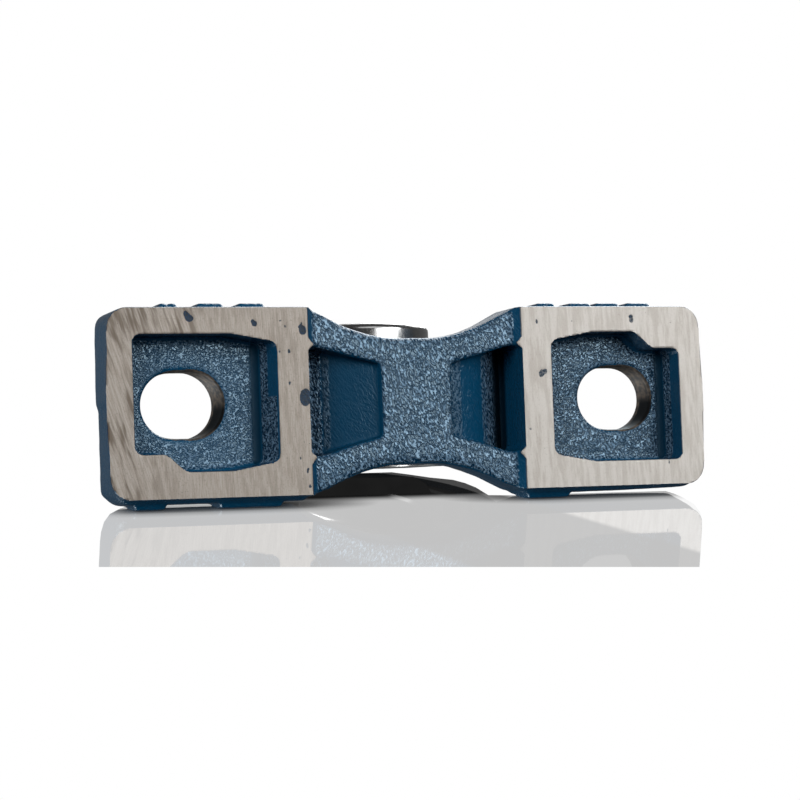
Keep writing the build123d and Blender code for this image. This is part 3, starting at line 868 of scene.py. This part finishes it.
@dataclass
class HousingCasting:
    """The cast housing: its solid with cast edges and skin, and raised bars. In millimetres."""

    voxel: float = 0.45
    weld: float = 0.002
    sharp_angle: float = 38.0
    shaft_height: float = 42.9
    half_width: float = 24.0
    slot_centre: float = 60.5
    slot_straight: float = 1.5

    # The cast skin and its rounded edges
    edge_rounds: int = 5
    waist_rounds: int = 22
    waist_half: float = 15.9
    waist_flare: float = 8.4
    waist_reach: float = 44.0
    rim_near: Run = (2.6, 1.6)
    rim_low: Run = (5.5, 4.0)
    rim_run: Run = (28.5, 26.5)
    skin_depth: float = 0.07
    skin_lumps: tuple[tuple[float, float, int], ...] = ((0.6, 2.6, 3), (0.4, 1.2, 5))

    # The machined faces, which stay crisp: how far each goes, and how soon the skin begins
    crisp_sole: Run = (1.1, 0.7)
    crisp_seat: Run = (34.0, 1.0)
    crisp_slot: Run = (10.2, 0.8)
    pocket_floor: float = 9.0

    # Swollen sides, worn slots and a set-back end
    swell_back: float = 0.9
    swell_front: float = -0.35
    swell_x: Run = (29.0, 24.0)
    swell_y: Run = (11.0, 14.5)
    swell_z: Run = (14.0, 9.0)
    side_x: Run = (29.5, 31.0)
    side_y: Run = (22.0, 24.0)
    side_foot: Run = (1.2, 3.5)
    side_top: Run = (16.5, 13.5)
    side_swell: tuple[tuple[float, ...], tuple[float, ...]] = (
        (-82.5, -76.0, -36.0, -31.0, 30.0, 60.0, 76.0, 82.5),
        (0.5, 1.1, 1.15, 1.2, 1.2, 1.05, 0.7, 0.3),
    )
    slot_wear: float = 0.7
    slot_rim: Run = (13.0, 10.4)
    slot_low: Run = (9.0, 9.5)
    slot_high: Run = (17.6, 10.5)
    slot_end: Run = (0.5, 5.0)
    slot_lean: float = 0.5
    lean_z: Run = (11.0, 16.0)
    end_step: float = 1.0
    end_step_low: float = 0.4
    end_x: Run = (-80.5, -82.3)
    end_y: Run = (-1.0, 1.5)
    end_z: Run = (0.3, 2.5)

    # Where the sand's print is coarse: floors and walls of the hollows
    coarse_down: Run = (-0.72, -0.92)
    coarse_rim: Run = (1.6, 2.5)
    coarse_floor: Run = (9.1, 10.1)
    coarse_along: tuple[tuple[float, ...], tuple[float, ...]] = (
        (-60.0, -36.0, -30.0, 30.0, 40.0),
        (0.6, 0.7, 1.0, 1.0, 1.3),
    )
    slot_calm: Run = (10.6, 8.8)
    slot_calm_share: float = 0.8
    hollow_half: float = 14.3
    left_end: Patch = Patch((-31.0, -23.3), (2.5, 14.5))
    right_ridge: Patch = Patch((22.8, 27.4), (2.5, 14.5), 0.8)
    right_ridge_down: float = -0.3
    right_ridge_share: float = 0.9
    right_start: Patch = Patch((10.6, 14.0), (2.5, 8.0), 1.2)
    right_start_share: float = 0.5
    web_floor: Patch = Patch((-23.0, -9.8), (2.6, 14.5))
    wall_faces: Run = (-0.3, -0.6)
    inner_wall: Patch = Patch((-41.5, -37.3), (0.8, 8.2))
    inner_wall_front: Patch = Patch((-41.5, -37.3), (4.8, 8.2))
    inner_wall_front_y: float = -1.5
    outer_wall: Patch = Patch((73.6, 75.8), (4.9, 8.4))
    outer_wall_share: float = 0.9
    foot_top: float = 15.0
    body_run: Run = (15.0, 17.5)
    body_share: Run = (0.22, 0.5)
    smooth_share: float = 0.12

    # Painted shade: darker paint in the grooves at two pocket walls' feet, the right web pocket's
    # deep corner and the left web floor
    grooves: tuple[Run, ...] = ((72.9, 74.9), (-42.4, -40.2))
    groove_soft: float = 0.6
    groove_floor: Run = (8.2, 8.8)
    groove_top: float = 9.8
    groove_half: float = 17.3
    groove_shade: float = 0.75
    corner_x: Run = (25.0, 29.9)
    corner_run: Run = (11.8, 13.6)
    corner_top: float = 16.5
    web_shade: float = 0.36

    # Raised bars on the front of the feet and lugs on the back: each one's ends along the base
    bar_height: float = 1.3
    lug_height: float = 1.3
    bar_foot: float = 3.6
    bar_top: float = 12.4
    bar_round: float = 0.5
    bar_fullness: float = 0.6
    lugs: tuple[Run, ...] = ((-75.0, -67.0), (-53.0, -36.5), (31.5, 43.5))
    bars: tuple[Run, ...] = (
        (-67.3, -65.3),
        (-64.9, -62.6),
        (-57.4, -50.7),
        (-46.7, -39.7),
        (36.0, 41.2),
        (45.4, 51.8),
        (53.3, 60.2),
        (62.4, 69.4),
    )

    # Spots of the soles that the cutter missed
    blemish_depth: float = 0.12
    blemish_rim: float = 0.25
    blemish_run: float = 0.5
    sole_skin: float = 0.1
    most_clearance: float = 3.0
    blemishes: tuple[Blemish, ...] = (
        Blemish(-61.5, -22.3, 1.3, 1.5),
        Blemish(-60.7, -21.2, 2.2, 1.9, 20),
        Blemish(-44.2, -20.3, 1.0, 1.0),
        Blemish(-43.7, -19.7, 1.4, 1.4),
        Blemish(-31.6, -18.8, 1.2, 1.1),
        Blemish(-31.0, -18.0, 1.9, 2.4),
        Blemish(-31.3, -19.7, 0.6, 0.6),
        Blemish(-30.8, -0.9, 3.0, 4.4),
        Blemish(-36.9, -20.4, 0.5, 0.6),
        Blemish(-35.6, -19.0, 0.6, 0.7),
        Blemish(-34.8, -12.6, 0.7, 1.1),
        Blemish(-37.3, -12.6, 0.6, 0.6),
        Blemish(-34.9, -4.6, 0.6, 0.8),
        Blemish(-32.4, 0.9, 0.5, 0.5),
        Blemish(-30.8, 17.6, 0.6, 1.3, 15),
        Blemish(-30.4, 21.7, 0.8, 0.9),
        Blemish(-32.7, 14.5, 0.5, 0.7),
        Blemish(34.9, -6.3, 1.5, 2.0, 10),
        Blemish(35.9, -6.8, 1.2, 1.5),
        Blemish(61.7, -21.2, 1.2, 1.1),
        Blemish(61.8, -20.2, 1.2, 1.4),
        Blemish(34.1, -20.0, 0.6, 1.3),
        Blemish(44.2, -20.1, 0.4, 0.5),
        Blemish(31.1, 8.3, 0.6, 0.7),
        Blemish(71.3, 18.1, 0.4, 0.9),
        Blemish(73.4, -19.5, 0.4, 0.4),
    )

    def add_bar(self, work: bmesh.types.BMesh, ends: Run, side: End, height: float) -> None:
        """Adds one raised bar to a foot.

        Args:
            work: The mesh that it joins.
            ends: Its two ends along the base.
            side: The side of the foot that it stands on.
            height: How far it stands out.
        """
        start, stop = ends
        across = side.value * self.half_width
        size = (stop - start, 2 * height, self.bar_top - self.bar_foot)
        middle = ((start + stop) / 2, across, (self.bar_top + self.bar_foot) / 2)
        matrix = Matrix.LocRotScale(in_metres(*middle), None, in_metres(*size))
        made = bmesh.ops.create_cube(work, size=1.0, matrix=matrix)
        edges = {edge for vertex in made["verts"] for edge in vertex.link_edges}
        bmesh.ops.bevel(
            work,
            geom=list(edges),
            offset=self.bar_round * MM,
            segments=3,
            affect="EDGES",
            profile=self.bar_fullness,
        )

    def solid(self) -> tuple[bpy.types.Mesh, BVHTree]:
        """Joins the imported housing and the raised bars.

        Returns:
            One even skin of small faces, and the surface that it has to lie on.
        """
        work = bmesh.new()
        work.from_mesh(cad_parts["housing"].data)
        bmesh.ops.remove_doubles(work, verts=work.verts, dist=self.weld * MM)
        for ends in self.bars:
            self.add_bar(work, ends, End.FRONT, self.bar_height)
        for ends in self.lugs:
            self.add_bar(work, ends, End.BACK, self.lug_height)
        mesh = bpy.data.meshes.new("housing_solid")
        work.to_mesh(mesh)
        work.free()
        carrier = bpy.data.objects.new("housing_solid", mesh)
        bpy.context.scene.collection.objects.link(carrier)
        remesh = carrier.modifiers.new("skin", "REMESH")
        remesh.mode = "VOXEL"
        remesh.voxel_size = self.voxel * MM
        graph = bpy.context.evaluated_depsgraph_get()
        skin = bpy.data.meshes.new_from_object(carrier.evaluated_get(graph))
        bpy.data.objects.remove(carrier)
        surface = BVHTree.FromPolygons(
            [v.co.copy() for v in mesh.vertices], [tuple(p.vertices) for p in mesh.polygons]
        )
        bpy.data.meshes.remove(mesh)
        return skin, surface

    def slot_reach(self, x: np.ndarray, y: np.ndarray) -> np.ndarray:
        """How far each point is from the straight middle line of the nearer slot."""
        beyond = np.maximum(np.abs(np.abs(x) - self.slot_centre) - self.slot_straight, 0)
        return np.hypot(beyond, y)

    def machined(self, points: np.ndarray) -> np.ndarray:
        """Finds the machined faces.

        Args:
            points: Points of the skin, in metres.

        Returns:
            1 at points on or next to a machined face, and 0 on the cast skin.
        """
        x, y, z = points.T / MM
        axis = np.hypot(x, z - self.shaft_height)
        reaches = (
            (z, self.crisp_sole),
            (axis, self.crisp_seat),
            (self.slot_reach(x, y), self.crisp_slot),
        )
        sole, seat, slot = (np.clip((end - r) / soft, 0, 1) for r, (end, soft) in reaches)
        return np.maximum(np.maximum(sole, seat), np.where(z > self.pocket_floor, slot, 0))

    def waist_rim(self, points: np.ndarray) -> np.ndarray:
        """Finds the two lower edges of the waist.

        Args:
            points: Points of the skin, in metres.

        Returns:
            1 along the edges, and 0 elsewhere.
        """
        x, y, z = points.T / MM
        edge = self.waist_half + self.waist_flare * (x / self.waist_reach) ** 2
        near = ramp(np.abs(np.abs(y) - edge), *self.rim_near)
        return near * ramp(z, *self.rim_low) * ramp(np.abs(x), *self.rim_run)

    def clearance(self, points: np.ndarray) -> np.ndarray:
        """Measures to the edge of the nearest blemish.

        Args:
            points: Points of the skin, in metres.

        Returns:
            Each point's distance in millimetres, less than 0 inside a blemish.
        """
        nearest = np.full(len(points), self.most_clearance)
        x, y, _ = points.T / MM
        for mark in self.blemishes:
            turn = radians(mark.turn)
            across = (x - mark.x) * cos(turn) + (y - mark.y) * sin(turn)
            along = (y - mark.y) * cos(turn) - (x - mark.x) * sin(turn)
            reach = np.hypot(across * 2 / mark.across, along * 2 / mark.along)
            nearest = np.minimum(nearest, (reach - 1) * min(mark.across, mark.along) / 2)
        return nearest

    def settle(self, points: np.ndarray) -> np.ndarray:
        """Small moves by which a casting departs from its drawing.

        Args:
            points: Points of the skin, in metres.

        Returns:
            The moves, in metres.
        """
        x, y, z = points.T / MM
        moves = np.zeros_like(points)
        waist = ramp(np.abs(x), *self.swell_x) * ramp(z, *self.swell_z)
        waist = waist * ramp(np.abs(y), *self.swell_y)
        moves[:, 1] += waist * np.where(y > 0, self.swell_back, self.swell_front)
        side = ramp(np.abs(x), *self.side_x) * ramp(y, *self.side_y)
        side = side * ramp(z, *self.side_foot) * ramp(z, *self.side_top)
        moves[:, 1] += side * np.interp(x, *self.side_swell)

        off = np.abs(x) - self.slot_centre
        rim = ramp(self.slot_reach(x, y), *self.slot_rim)
        worn = rim * ramp(z, *self.slot_low) * ramp(z, *self.slot_high)
        worn = worn * ramp(np.abs(off), *self.slot_end) * np.sign(x) * np.sign(off)
        moves[:, 0] += worn * self.slot_wear
        lean = rim * ramp(z, *self.lean_z) * (x < 0) * ramp(-off, *self.slot_end)
        moves[:, 0] -= lean * self.slot_lean

        step = self.end_step_low + (1 - self.end_step_low) * ramp(y, *self.end_y)
        moves[:, 0] += ramp(x, *self.end_x) * ramp(z, *self.end_z) * step * self.end_step
        return moves * MM

    def zones(self, points: np.ndarray, normals: np.ndarray) -> dict[str, np.ndarray]:
        """Where the skin is coarse, where shade is painted in corners, and where the cutter missed.

        Args:
            points: Points of the skin, in metres.
            normals: Which way the skin faces at each point.

        Returns:
            The values that the finish reads, by name.
        """
        x, y, z = points.T / MM
        along, _, up = normals.T
        hollow = np.abs(y) < self.hollow_half
        flats = np.maximum(window(z, *self.coarse_rim), window(z, *self.coarse_floor))
        flats = flats * ramp(up, *self.coarse_down) * np.interp(x, *self.coarse_along)
        calm = ramp(self.slot_reach(x, y), *self.slot_calm)
        ridge = self.right_ridge.floor(x, z) * hollow * (up < self.right_ridge_down)
        faces_in = ramp(along, *self.wall_faces)
        back = y > self.inner_wall_front_y
        inner_wall = np.where(back, self.inner_wall.wall(x, z), self.inner_wall_front.wall(x, z))
        coarse = np.maximum.reduce([
            flats * (1 - self.slot_calm_share * calm),
            self.left_end.floor(x, z) * hollow,
            self.right_ridge_share * ridge,
            self.right_start_share * self.right_start.floor(x, z) * hollow,
            inner_wall * faces_in,
            self.outer_wall_share * self.outer_wall.wall(x, z) * faces_in,
        ])
        least, more = self.body_share
        body = more * ramp(z, *self.body_run) + least
        body = np.where(z > self.foot_top, body, self.smooth_share)

        # Painted shade in the grooves, the right web pocket's deep corner and on the left web floor
        groove = sum(window(x, *run, self.groove_soft) for run in self.grooves)
        groove = groove * ramp(z, *self.groove_floor) * (z < self.groove_top)
        groove = groove * (np.abs(y) < self.groove_half)
        corner = ramp(z, *self.corner_run) * (z < self.corner_top) * hollow
        corner = corner * (x > self.corner_x[0]) * (x < self.corner_x[1])
        web = self.web_floor.floor(x, z) * hollow
        painted_shade = self.groove_shade * groove + corner + self.web_shade * web
        return {
            CLEARANCE: self.clearance(points),
            TEXTURE: np.maximum(coarse, body) * (1 - np.minimum(groove, 1)),
            PAINTED_SHADE: np.minimum(painted_shade, 1),
        }

    def build(self) -> list[bpy.types.Object]:
        """Makes the casting.

        Returns:
            Its one piece.
        """
        mesh, surface = self.solid()
        points = np.array([surface.find_nearest(Vector(p))[0][:] for p in read_points(mesh)])
        edges = np.empty(len(mesh.edges) * 2, np.int64)
        mesh.edges.foreach_get("vertices", edges)
        edges = edges.reshape(-1, 2)
        freedom = 1 - self.machined(points)
        points += self.settle(points)
        points = relax(points, edges, freedom, self.edge_rounds)
        points = relax(points, edges, freedom * self.waist_rim(points), self.waist_rounds)
        write_points(mesh, points)

        # The skin's own lumps, then the spots that stand back from the cut sole
        normals = read_points(mesh, "normal")
        skin = sum(share * lumps(points, wide * MM, seed) for share, wide, seed in self.skin_lumps)
        points += normals * (self.skin_depth * MM * skin * freedom)[:, None]
        inside = np.clip(self.blemish_rim - self.clearance(points), 0, self.blemish_run)
        inside = inside / self.blemish_run * (points[:, 2] < self.sole_skin * MM)
        points[:, 2] += self.blemish_depth * MM * inside
        write_points(mesh, points)

        mesh.polygons.foreach_set("use_smooth", np.ones(len(mesh.polygons), bool))
        mesh.set_sharp_from_angle(angle=radians(self.sharp_angle))
        for name, values in self.zones(points, normals).items():
            layer = mesh.attributes.new(name, "FLOAT", "POINT")
            layer.data.foreach_set("value", values.astype(np.float32))
        piece = new_piece("housing_casting", mesh, CastPaint().build())
        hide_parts("housing")
        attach(piece, "base")
        return [piece]


@dataclass
class BearingInsert:
    """The insert and the small fittings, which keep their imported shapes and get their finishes."""

    ground: tuple[str, ...] = ("outer_ring", "inner_ring", "locating_pin")
    polished: tuple[str, ...] = tuple(f"ball_{k}" for k in range(1, 10))
    pressed: tuple[str, ...] = (
        "cage_front",
        "cage_back",
        "cage_rivets",
        "flinger_front",
        "flinger_back",
        "seal_shield_front",
        "seal_shield_back",
    )
    plated: tuple[str, ...] = ("nipple_body", "nipple_check_ball", "nipple_spring")
    black: tuple[str, ...] = ("set_screw_1", "set_screw_2")
    rubber: tuple[str, ...] = ("seal_lip_front", "seal_lip_back")

    # Each finish's colour, the colour of its clouds, and its roughness
    ground_steel: SteelFinish = SteelFinish(
        Steel.GROUND, (0.42, 0.42, 0.42), (0.49, 0.49, 0.48), 0.22
    )
    polished_steel: SteelFinish = SteelFinish(
        Steel.POLISHED, (0.70, 0.70, 0.70), (0.74, 0.74, 0.73), 0.12
    )
    pressed_steel: SteelFinish = SteelFinish(
        Steel.PRESSED, (0.50, 0.50, 0.49), (0.58, 0.57, 0.55), 0.32
    )
    plated_steel: SteelFinish = SteelFinish(
        Steel.ZINC, (0.62, 0.61, 0.56), (0.70, 0.68, 0.60), 0.30
    )
    black_steel: SteelFinish = SteelFinish(
        Steel.BLACK, (0.035, 0.035, 0.038), (0.07, 0.065, 0.06), 0.38
    )
    seal_rubber: SealRubber = SealRubber()

    def build(self) -> list[bpy.types.Object]:
        """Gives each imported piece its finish.

        Returns:
            The pieces.
        """
        pieces = []
        for names, finish in (
            (self.ground, self.ground_steel),
            (self.polished, self.polished_steel),
            (self.pressed, self.pressed_steel),
            (self.plated, self.plated_steel),
            (self.black, self.black_steel),
            (self.rubber, self.seal_rubber),
        ):
            material = finish.build()
            for name in names:
                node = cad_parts[name]
                for slot in node.material_slots:
                    slot.material = material
                pieces.append(node)
        return pieces


# --- Stage -----------------------------------------------------------------------------


@dataclass(frozen=True)
class Softbox:
    """A soft light: its way from the block, distance and size in metres, and power in watts."""

    name: str
    way: Point
    distance: float
    size: Run
    power: float
    mirrored: bool = True

    def hang(self, aim: Vector) -> None:
        """Puts the light in the scene.

        Args:
            aim: What it points at, in metres.
        """
        data = bpy.data.lights.new(self.name, "AREA")
        data.shape = "RECTANGLE"
        data.size, data.size_y = self.size
        data.energy = self.power
        light = bpy.data.objects.new(self.name, data)
        light.location = aim + Vector(self.way).normalized() * self.distance
        light.rotation_mode = "QUATERNION"
        light.rotation_quaternion = (aim - light.location).to_track_quat("-Z", "Y")
        light.visible_glossy = self.mirrored
        bpy.context.scene.collection.objects.link(light)


@dataclass
class Studio:
    """Camera, lights, the table that the block leans on and the floor under its feet."""

    # The camera's place, its right and up, in metres, and its lens
    eye: Point = (-0.21685, 0.03209, -0.56063)
    right: Point = (0.93565, 0.03639, -0.35104)
    up: Point = (0.01532, -0.99792, -0.06260)
    lens: float = 104.906
    sensor: float = 36.0
    clip: Run = (0.01, 20.0)

    # The surroundings: dim to bright as they rise, and less bright on one side
    dim: float = 0.05
    bright: float = 0.17
    rise_run: Run = (-0.4, 0.7)
    behind: float = 0.25
    fall_run: Run = (-0.15, 0.35)

    # The table: where it touches the block, how far it leans, and its outline
    lean: float = radians(8.0)
    touch_y: float = 25.5
    touch_z: float = 13.0
    table_outline: tuple[Run, ...] = (
        (-104.5, -81.0),
        (-43.6, -98.0),
        (18.2, -115.3),
        (47.3, -62.3),
        (56.2, -45.7),
        (63.3, -31.5),
        (69.7, -16.1),
        (73.6, -2.6),
        (75.5, 6.2),
        (76.0, 12.0),
        (40.5, 13.5),
        (32.8, 12.7),
        (24.8, 15.4),
        (28.4, 32.5),
        (29.6, 43.4),
        (29.3, 51.6),
        (25.1, 58.6),
        (22.2, 67.0),
        (19.3, 74.1),
        (6.3, 74.0),
        (-5.7, 58.0),
        (2.9, 58.7),
        (10.7, 55.1),
        (15.6, 48.1),
        (16.3, 39.5),
        (12.7, 31.7),
        (5.7, 26.8),
        (-2.9, 26.1),
        (-9.5, 28.8),
        (-22.0, 29.9),
        (-44.0, 22.0),
        (-60.0, 22.0),
        (-72.8, 17.7),
        (-76.7, 12.4),
        (-81.7, 2.6),
        (-86.6, -11.6),
        (-91.4, -28.6),
        (-96.7, -49.3),
    )
    glow: float = 0.54
    mirror: float = 0.39
    # Painted shade on the mirror: how dark it goes
    mirror_shade: float = 0.15
    mirror_rough: Run = (0.01, 0.02)
    shade_reach: float = 9.0
    shade_samples: int = 16
    # Painted shadow behind the block's front, and where the mirror's painted shade runs along the
    # middle
    painted_shadow_from: Run = (9.0, 22.0)
    painted_shadow_half: Run = (34.0, 44.0)
    painted_shadow_share: float = 0.985
    shaded_middle_half: Run = (27.0, 31.0)
    dust: Noise = Noise(60.0)

    # Painted shade: a dark sheet between the block and the table
    gap_height: float = 22.0
    gap_outline: tuple[Run, ...] = (
        (-26.0, 19.5),
        (-26.0, 24.0),
        (11.0, 24.0),
        (9.5, 21.5),
        (6.0, 19.5),
    )
    gap_clouds: Noise = Noise(6.0)
    gap_glow: Run = (0.006, 0.009)

    # The card that the table mirrors, in metres, and the floor
    card_way: Point = (0.352, -0.25, 0.902)
    card_distance: float = 1.0
    card_half: Run = (0.24, 0.10)
    card_clouds: Noise = Noise(90.0)
    card_glow: Run = (0.02, 1.0)
    floor_half: float = 2.0
    floor_drop: float = 0.15
    floor_tone: float = 0.86
    floor_rough: Run = (0.1, 0.5)
    floor_glow: float = 0.30

    aim: Point = (0.0, 0.0, 0.02)
    softboxes: tuple[Softbox, ...] = (
        Softbox("key", (0.48, -0.20, -0.82), 1.0, (0.36, 0.80), 6.0),
        Softbox("front", (0.15, -0.53, -0.82), 0.9, (0.95, 0.32), 1.2),
        Softbox("camera_left", (-0.62, -0.30, -0.72), 0.9, (0.50, 0.50), 5.5, False),
        Softbox("crown", (0.55, -0.65, 0.52), 2.0, (1.40, 1.40), 38.0),
        Softbox("rear", (-0.60, 0.65, 0.46), 2.0, (1.20, 1.20), 26.0),
    )

    def camera(self) -> None:
        """Makes the camera."""
        right, up = Vector(self.right).normalized(), Vector(self.up)
        up = (up - right * up.dot(right)).normalized()
        data = bpy.data.cameras.new("camera")
        data.lens = self.lens
        data.sensor_width = self.sensor
        data.clip_start, data.clip_end = self.clip
        camera = bpy.data.objects.new("camera", data)
        turn = Matrix((right, up, right.cross(up))).transposed()
        camera.matrix_world = Matrix.Translation(self.eye) @ turn.to_4x4()
        bpy.context.scene.collection.objects.link(camera)
        bpy.context.scene.camera = camera

    def surroundings(self) -> None:
        """White surroundings, dimmer for what falls on the block than for what shows behind it."""
        world = bpy.data.worlds.new("surroundings")
        bpy.context.scene.world = world
        world.use_nodes = True
        tree = world.node_tree
        tree.nodes.clear()
        output = tree.nodes.new("ShaderNodeOutputWorld")
        background = tree.nodes.new("ShaderNodeBackground")
        path = tree.nodes.new("ShaderNodeLightPath")
        sky = tree.nodes.new("ShaderNodeTexCoord")
        split = tree.nodes.new("ShaderNodeSeparateXYZ")
        both = tree.nodes.new("ShaderNodeMath")
        strength = tree.nodes.new("ShaderNodeMix")
        background.inputs["Color"].default_value = WHITE
        both.operation = "MULTIPLY"
        tree.links.new(sky.outputs["Generated"], split.inputs[0])
        for index, (axis, kind, values) in enumerate((
            ("Z", "LINEAR", (*self.rise_run, self.dim, self.bright)),
            ("Y", "SMOOTHSTEP", (*self.fall_run, 1.0, self.behind)),
        )):
            change = tree.nodes.new("ShaderNodeMapRange")
            change.interpolation_type = kind
            tree.links.new(split.outputs[axis], change.inputs["Value"])
            for name, value in zip(("From Min", "From Max", "To Min", "To Max"), values):
                change.inputs[name].default_value = value
            tree.links.new(change.outputs[0], both.inputs[index])
        strength.inputs[3].default_value = 1.0
        tree.links.new(path.outputs["Is Camera Ray"], strength.inputs["Factor"])
        tree.links.new(both.outputs[0], strength.inputs[2])
        tree.links.new(strength.outputs[0], background.inputs["Strength"])
        tree.links.new(background.outputs[0], output.inputs["Surface"])

    def one_sided(self, graph: Graph) -> bpy.types.Material:
        """Makes a finished surface one that can't be seen from behind.

        Args:
            graph: The surface's graph.

        Returns:
            Its material.
        """
        tree = graph.tree
        shader = graph.output.inputs["Surface"].links[0].from_socket
        clear = tree.nodes.new("ShaderNodeBsdfTransparent")
        side = tree.nodes.new("ShaderNodeNewGeometry")
        mix = tree.nodes.new("ShaderNodeMixShader")
        tree.links.new(side.outputs["Backfacing"], mix.inputs[0])
        tree.links.new(shader, mix.inputs[1])
        tree.links.new(clear.outputs[0], mix.inputs[2])
        tree.links.new(mix.outputs[0], graph.output.inputs["Surface"])
        return graph.material

    def glowing(self, graph: Graph, strength: Socket) -> Socket:
        """Gives a surface a white glow.

        Args:
            graph: The surface's graph.
            strength: How bright it is.

        Returns:
            The glow's shader, which is the surface's for now.
        """
        glow = graph.tree.nodes.new("ShaderNodeEmission")
        glow.inputs["Color"].default_value = WHITE
        graph.feed(glow.inputs["Strength"], strength)
        graph.tree.links.new(glow.outputs[0], graph.output.inputs["Surface"])
        return glow.outputs[0]

    def clouded(self, graph: Graph, noise: Noise, share: float, least: float) -> Socket:
        """A value that varies a little over a surface."""
        return graph.plus(graph.times(noise.lay(graph), share), least)

    def polished_table(self) -> bpy.types.Material:
        """White acrylic: a soft mirror, darker near what touches it, with painted shadow and shade.

        Returns:
            The material.
        """
        graph = Graph("table")
        tree = graph.tree
        near = tree.nodes.new("ShaderNodeAmbientOcclusion")
        near.samples = self.shade_samples
        near.inputs["Distance"].default_value = self.shade_reach * MM
        x, _, z = graph.split(graph.place)
        # Painted shadow behind the block's front, on top of the occlusion
        painted_shadow = graph.fade(graph.size(x), self.painted_shadow_half)
        painted_shadow = graph.times(painted_shadow, graph.span(z, self.painted_shadow_from))
        lit = graph.minus(1.0, graph.times(painted_shadow, self.painted_shadow_share))
        glow = self.glowing(graph, graph.times(near.outputs["AO"], lit, self.glow))

        mirror = tree.nodes.new("ShaderNodeBsdfGlossy")
        # Painted shade: the mirror dims along the middle and in the painted shadow
        clear = (self.mirror,) * 3
        dark = (self.mirror * self.mirror_shade,) * 3
        middle = graph.span(graph.size(x), self.shaded_middle_half)
        shade = graph.blend(middle, dark, graph.blend(lit, dark, clear))
        graph.feed(mirror.inputs["Color"], shade)
        rough = self.clouded(graph, self.dust, *self.mirror_rough)
        graph.feed(mirror.inputs["Roughness"], rough)
        both = tree.nodes.new("ShaderNodeAddShader")
        tree.links.new(glow, both.inputs[0])
        tree.links.new(mirror.outputs[0], both.inputs[1])
        tree.links.new(both.outputs[0], graph.output.inputs["Surface"])
        return self.one_sided(graph)

    def painted_shade_sheet(self) -> bpy.types.Material:
        """Painted shade: a dark sheet between block and table, where the table is open behind the
        bore.

        Returns:
            The material.
        """
        graph = Graph("table_shade_sheet")
        self.glowing(graph, self.clouded(graph, self.gap_clouds, *self.gap_glow))
        return self.one_sided(graph)

    def matt_floor(self) -> bpy.types.Material:
        """Pale matt floor.

        Returns:
            The material.
        """
        graph = Graph("floor")
        graph.surface(
            Base_Color=(self.floor_tone,) * 3,
            Roughness=self.clouded(graph, self.dust, *self.floor_rough),
            Emission_Color=WHITE[:3],
            Emission_Strength=self.floor_glow,
        )
        return self.one_sided(graph)

    def sheet(
        self, name: str, corners: Sequence[Vector], material: bpy.types.Material
    ) -> bpy.types.Object:
        """Adds one flat piece of the stage, which neither shades nor lights the block.

        Args:
            name: Its name.
            corners: Its corners, anticlockwise from its face.
            material: Its finish.

        Returns:
            The object.
        """
        mesh = bpy.data.meshes.new(name)
        mesh.from_pydata([tuple(c) for c in corners], [], [tuple(range(len(corners)))])
        piece = new_piece(name, mesh, material)
        piece.visible_shadow = False
        piece.visible_diffuse = False
        piece.visible_glossy = False
        return piece

    def table(self) -> list[bpy.types.Object]:
        """The table, no larger than what shows of it and open behind the bore, and a painted shade
        sheet.

        Returns:
            Its two sheets.
        """
        slope = Vector((0.0, -sin(self.lean), cos(self.lean)))
        touch = in_metres(0.0, self.touch_y, self.touch_z)
        outline = [
            touch + slope * ((z - self.touch_z) * MM / slope.z) + in_metres(x, 0.0, 0.0)
            for x, z in self.table_outline
        ]
        gap = [in_metres(x, y, self.gap_height) for x, y in self.gap_outline]
        return [
            self.sheet("table", outline, self.polished_table()),
            self.sheet("table_shade_sheet", gap, self.painted_shade_sheet()),
        ]

    def white_card(self) -> bpy.types.Object:
        """A white card that only the table's mirror shows, where the block doesn't hide it.

        Returns:
            The card.
        """
        graph = Graph("white_card")
        self.glowing(graph, self.clouded(graph, self.card_clouds, *self.card_glow))
        along = Vector(self.card_way).normalized()
        side = along.cross(Vector((0.0, 1.0, 0.0))).normalized()
        rise = side.cross(along)
        half_side, half_rise = self.card_half
        corners = [
            along * self.card_distance + side * (a * half_side) + rise * (b * half_rise)
            for a, b in ((-1, -1), (1, -1), (1, 1), (-1, 1))
        ]
        card = self.sheet("white_card", corners, graph.material)
        card.visible_camera = False
        card.visible_glossy = True
        return card

    def floor(self) -> bpy.types.Object:
        """The floor, just under the feet.

        Returns:
            Its sheet.
        """
        half, drop = self.floor_half, -self.floor_drop * MM
        corners = ((-half, -half), (half, -half), (half, half), (-half, half))
        corners = [Vector((x, y, drop)) for x, y in corners]
        return self.sheet("floor", corners, self.matt_floor())

    def build(self) -> list[bpy.types.Object]:
        """Makes the whole stage.

        Returns:
            Its sheets.
        """
        self.camera()
        self.surroundings()
        sheets = [*self.table(), self.white_card(), self.floor()]
        for softbox in self.softboxes:
            softbox.hang(Vector(self.aim))
        return sheets


def main() -> None:
    """Builds the scene."""
    logging.basicConfig(level=logging.INFO, format="%(name)s: %(message)s")
    bpy.context.scene.view_settings.view_transform = "Standard"
    for maker in (HousingCasting(), BearingInsert(), Studio()):
        for piece in maker.build():
            log.info("%s: %s", piece.name, piece.active_material.name)


if __name__ == "__main__":
    main()
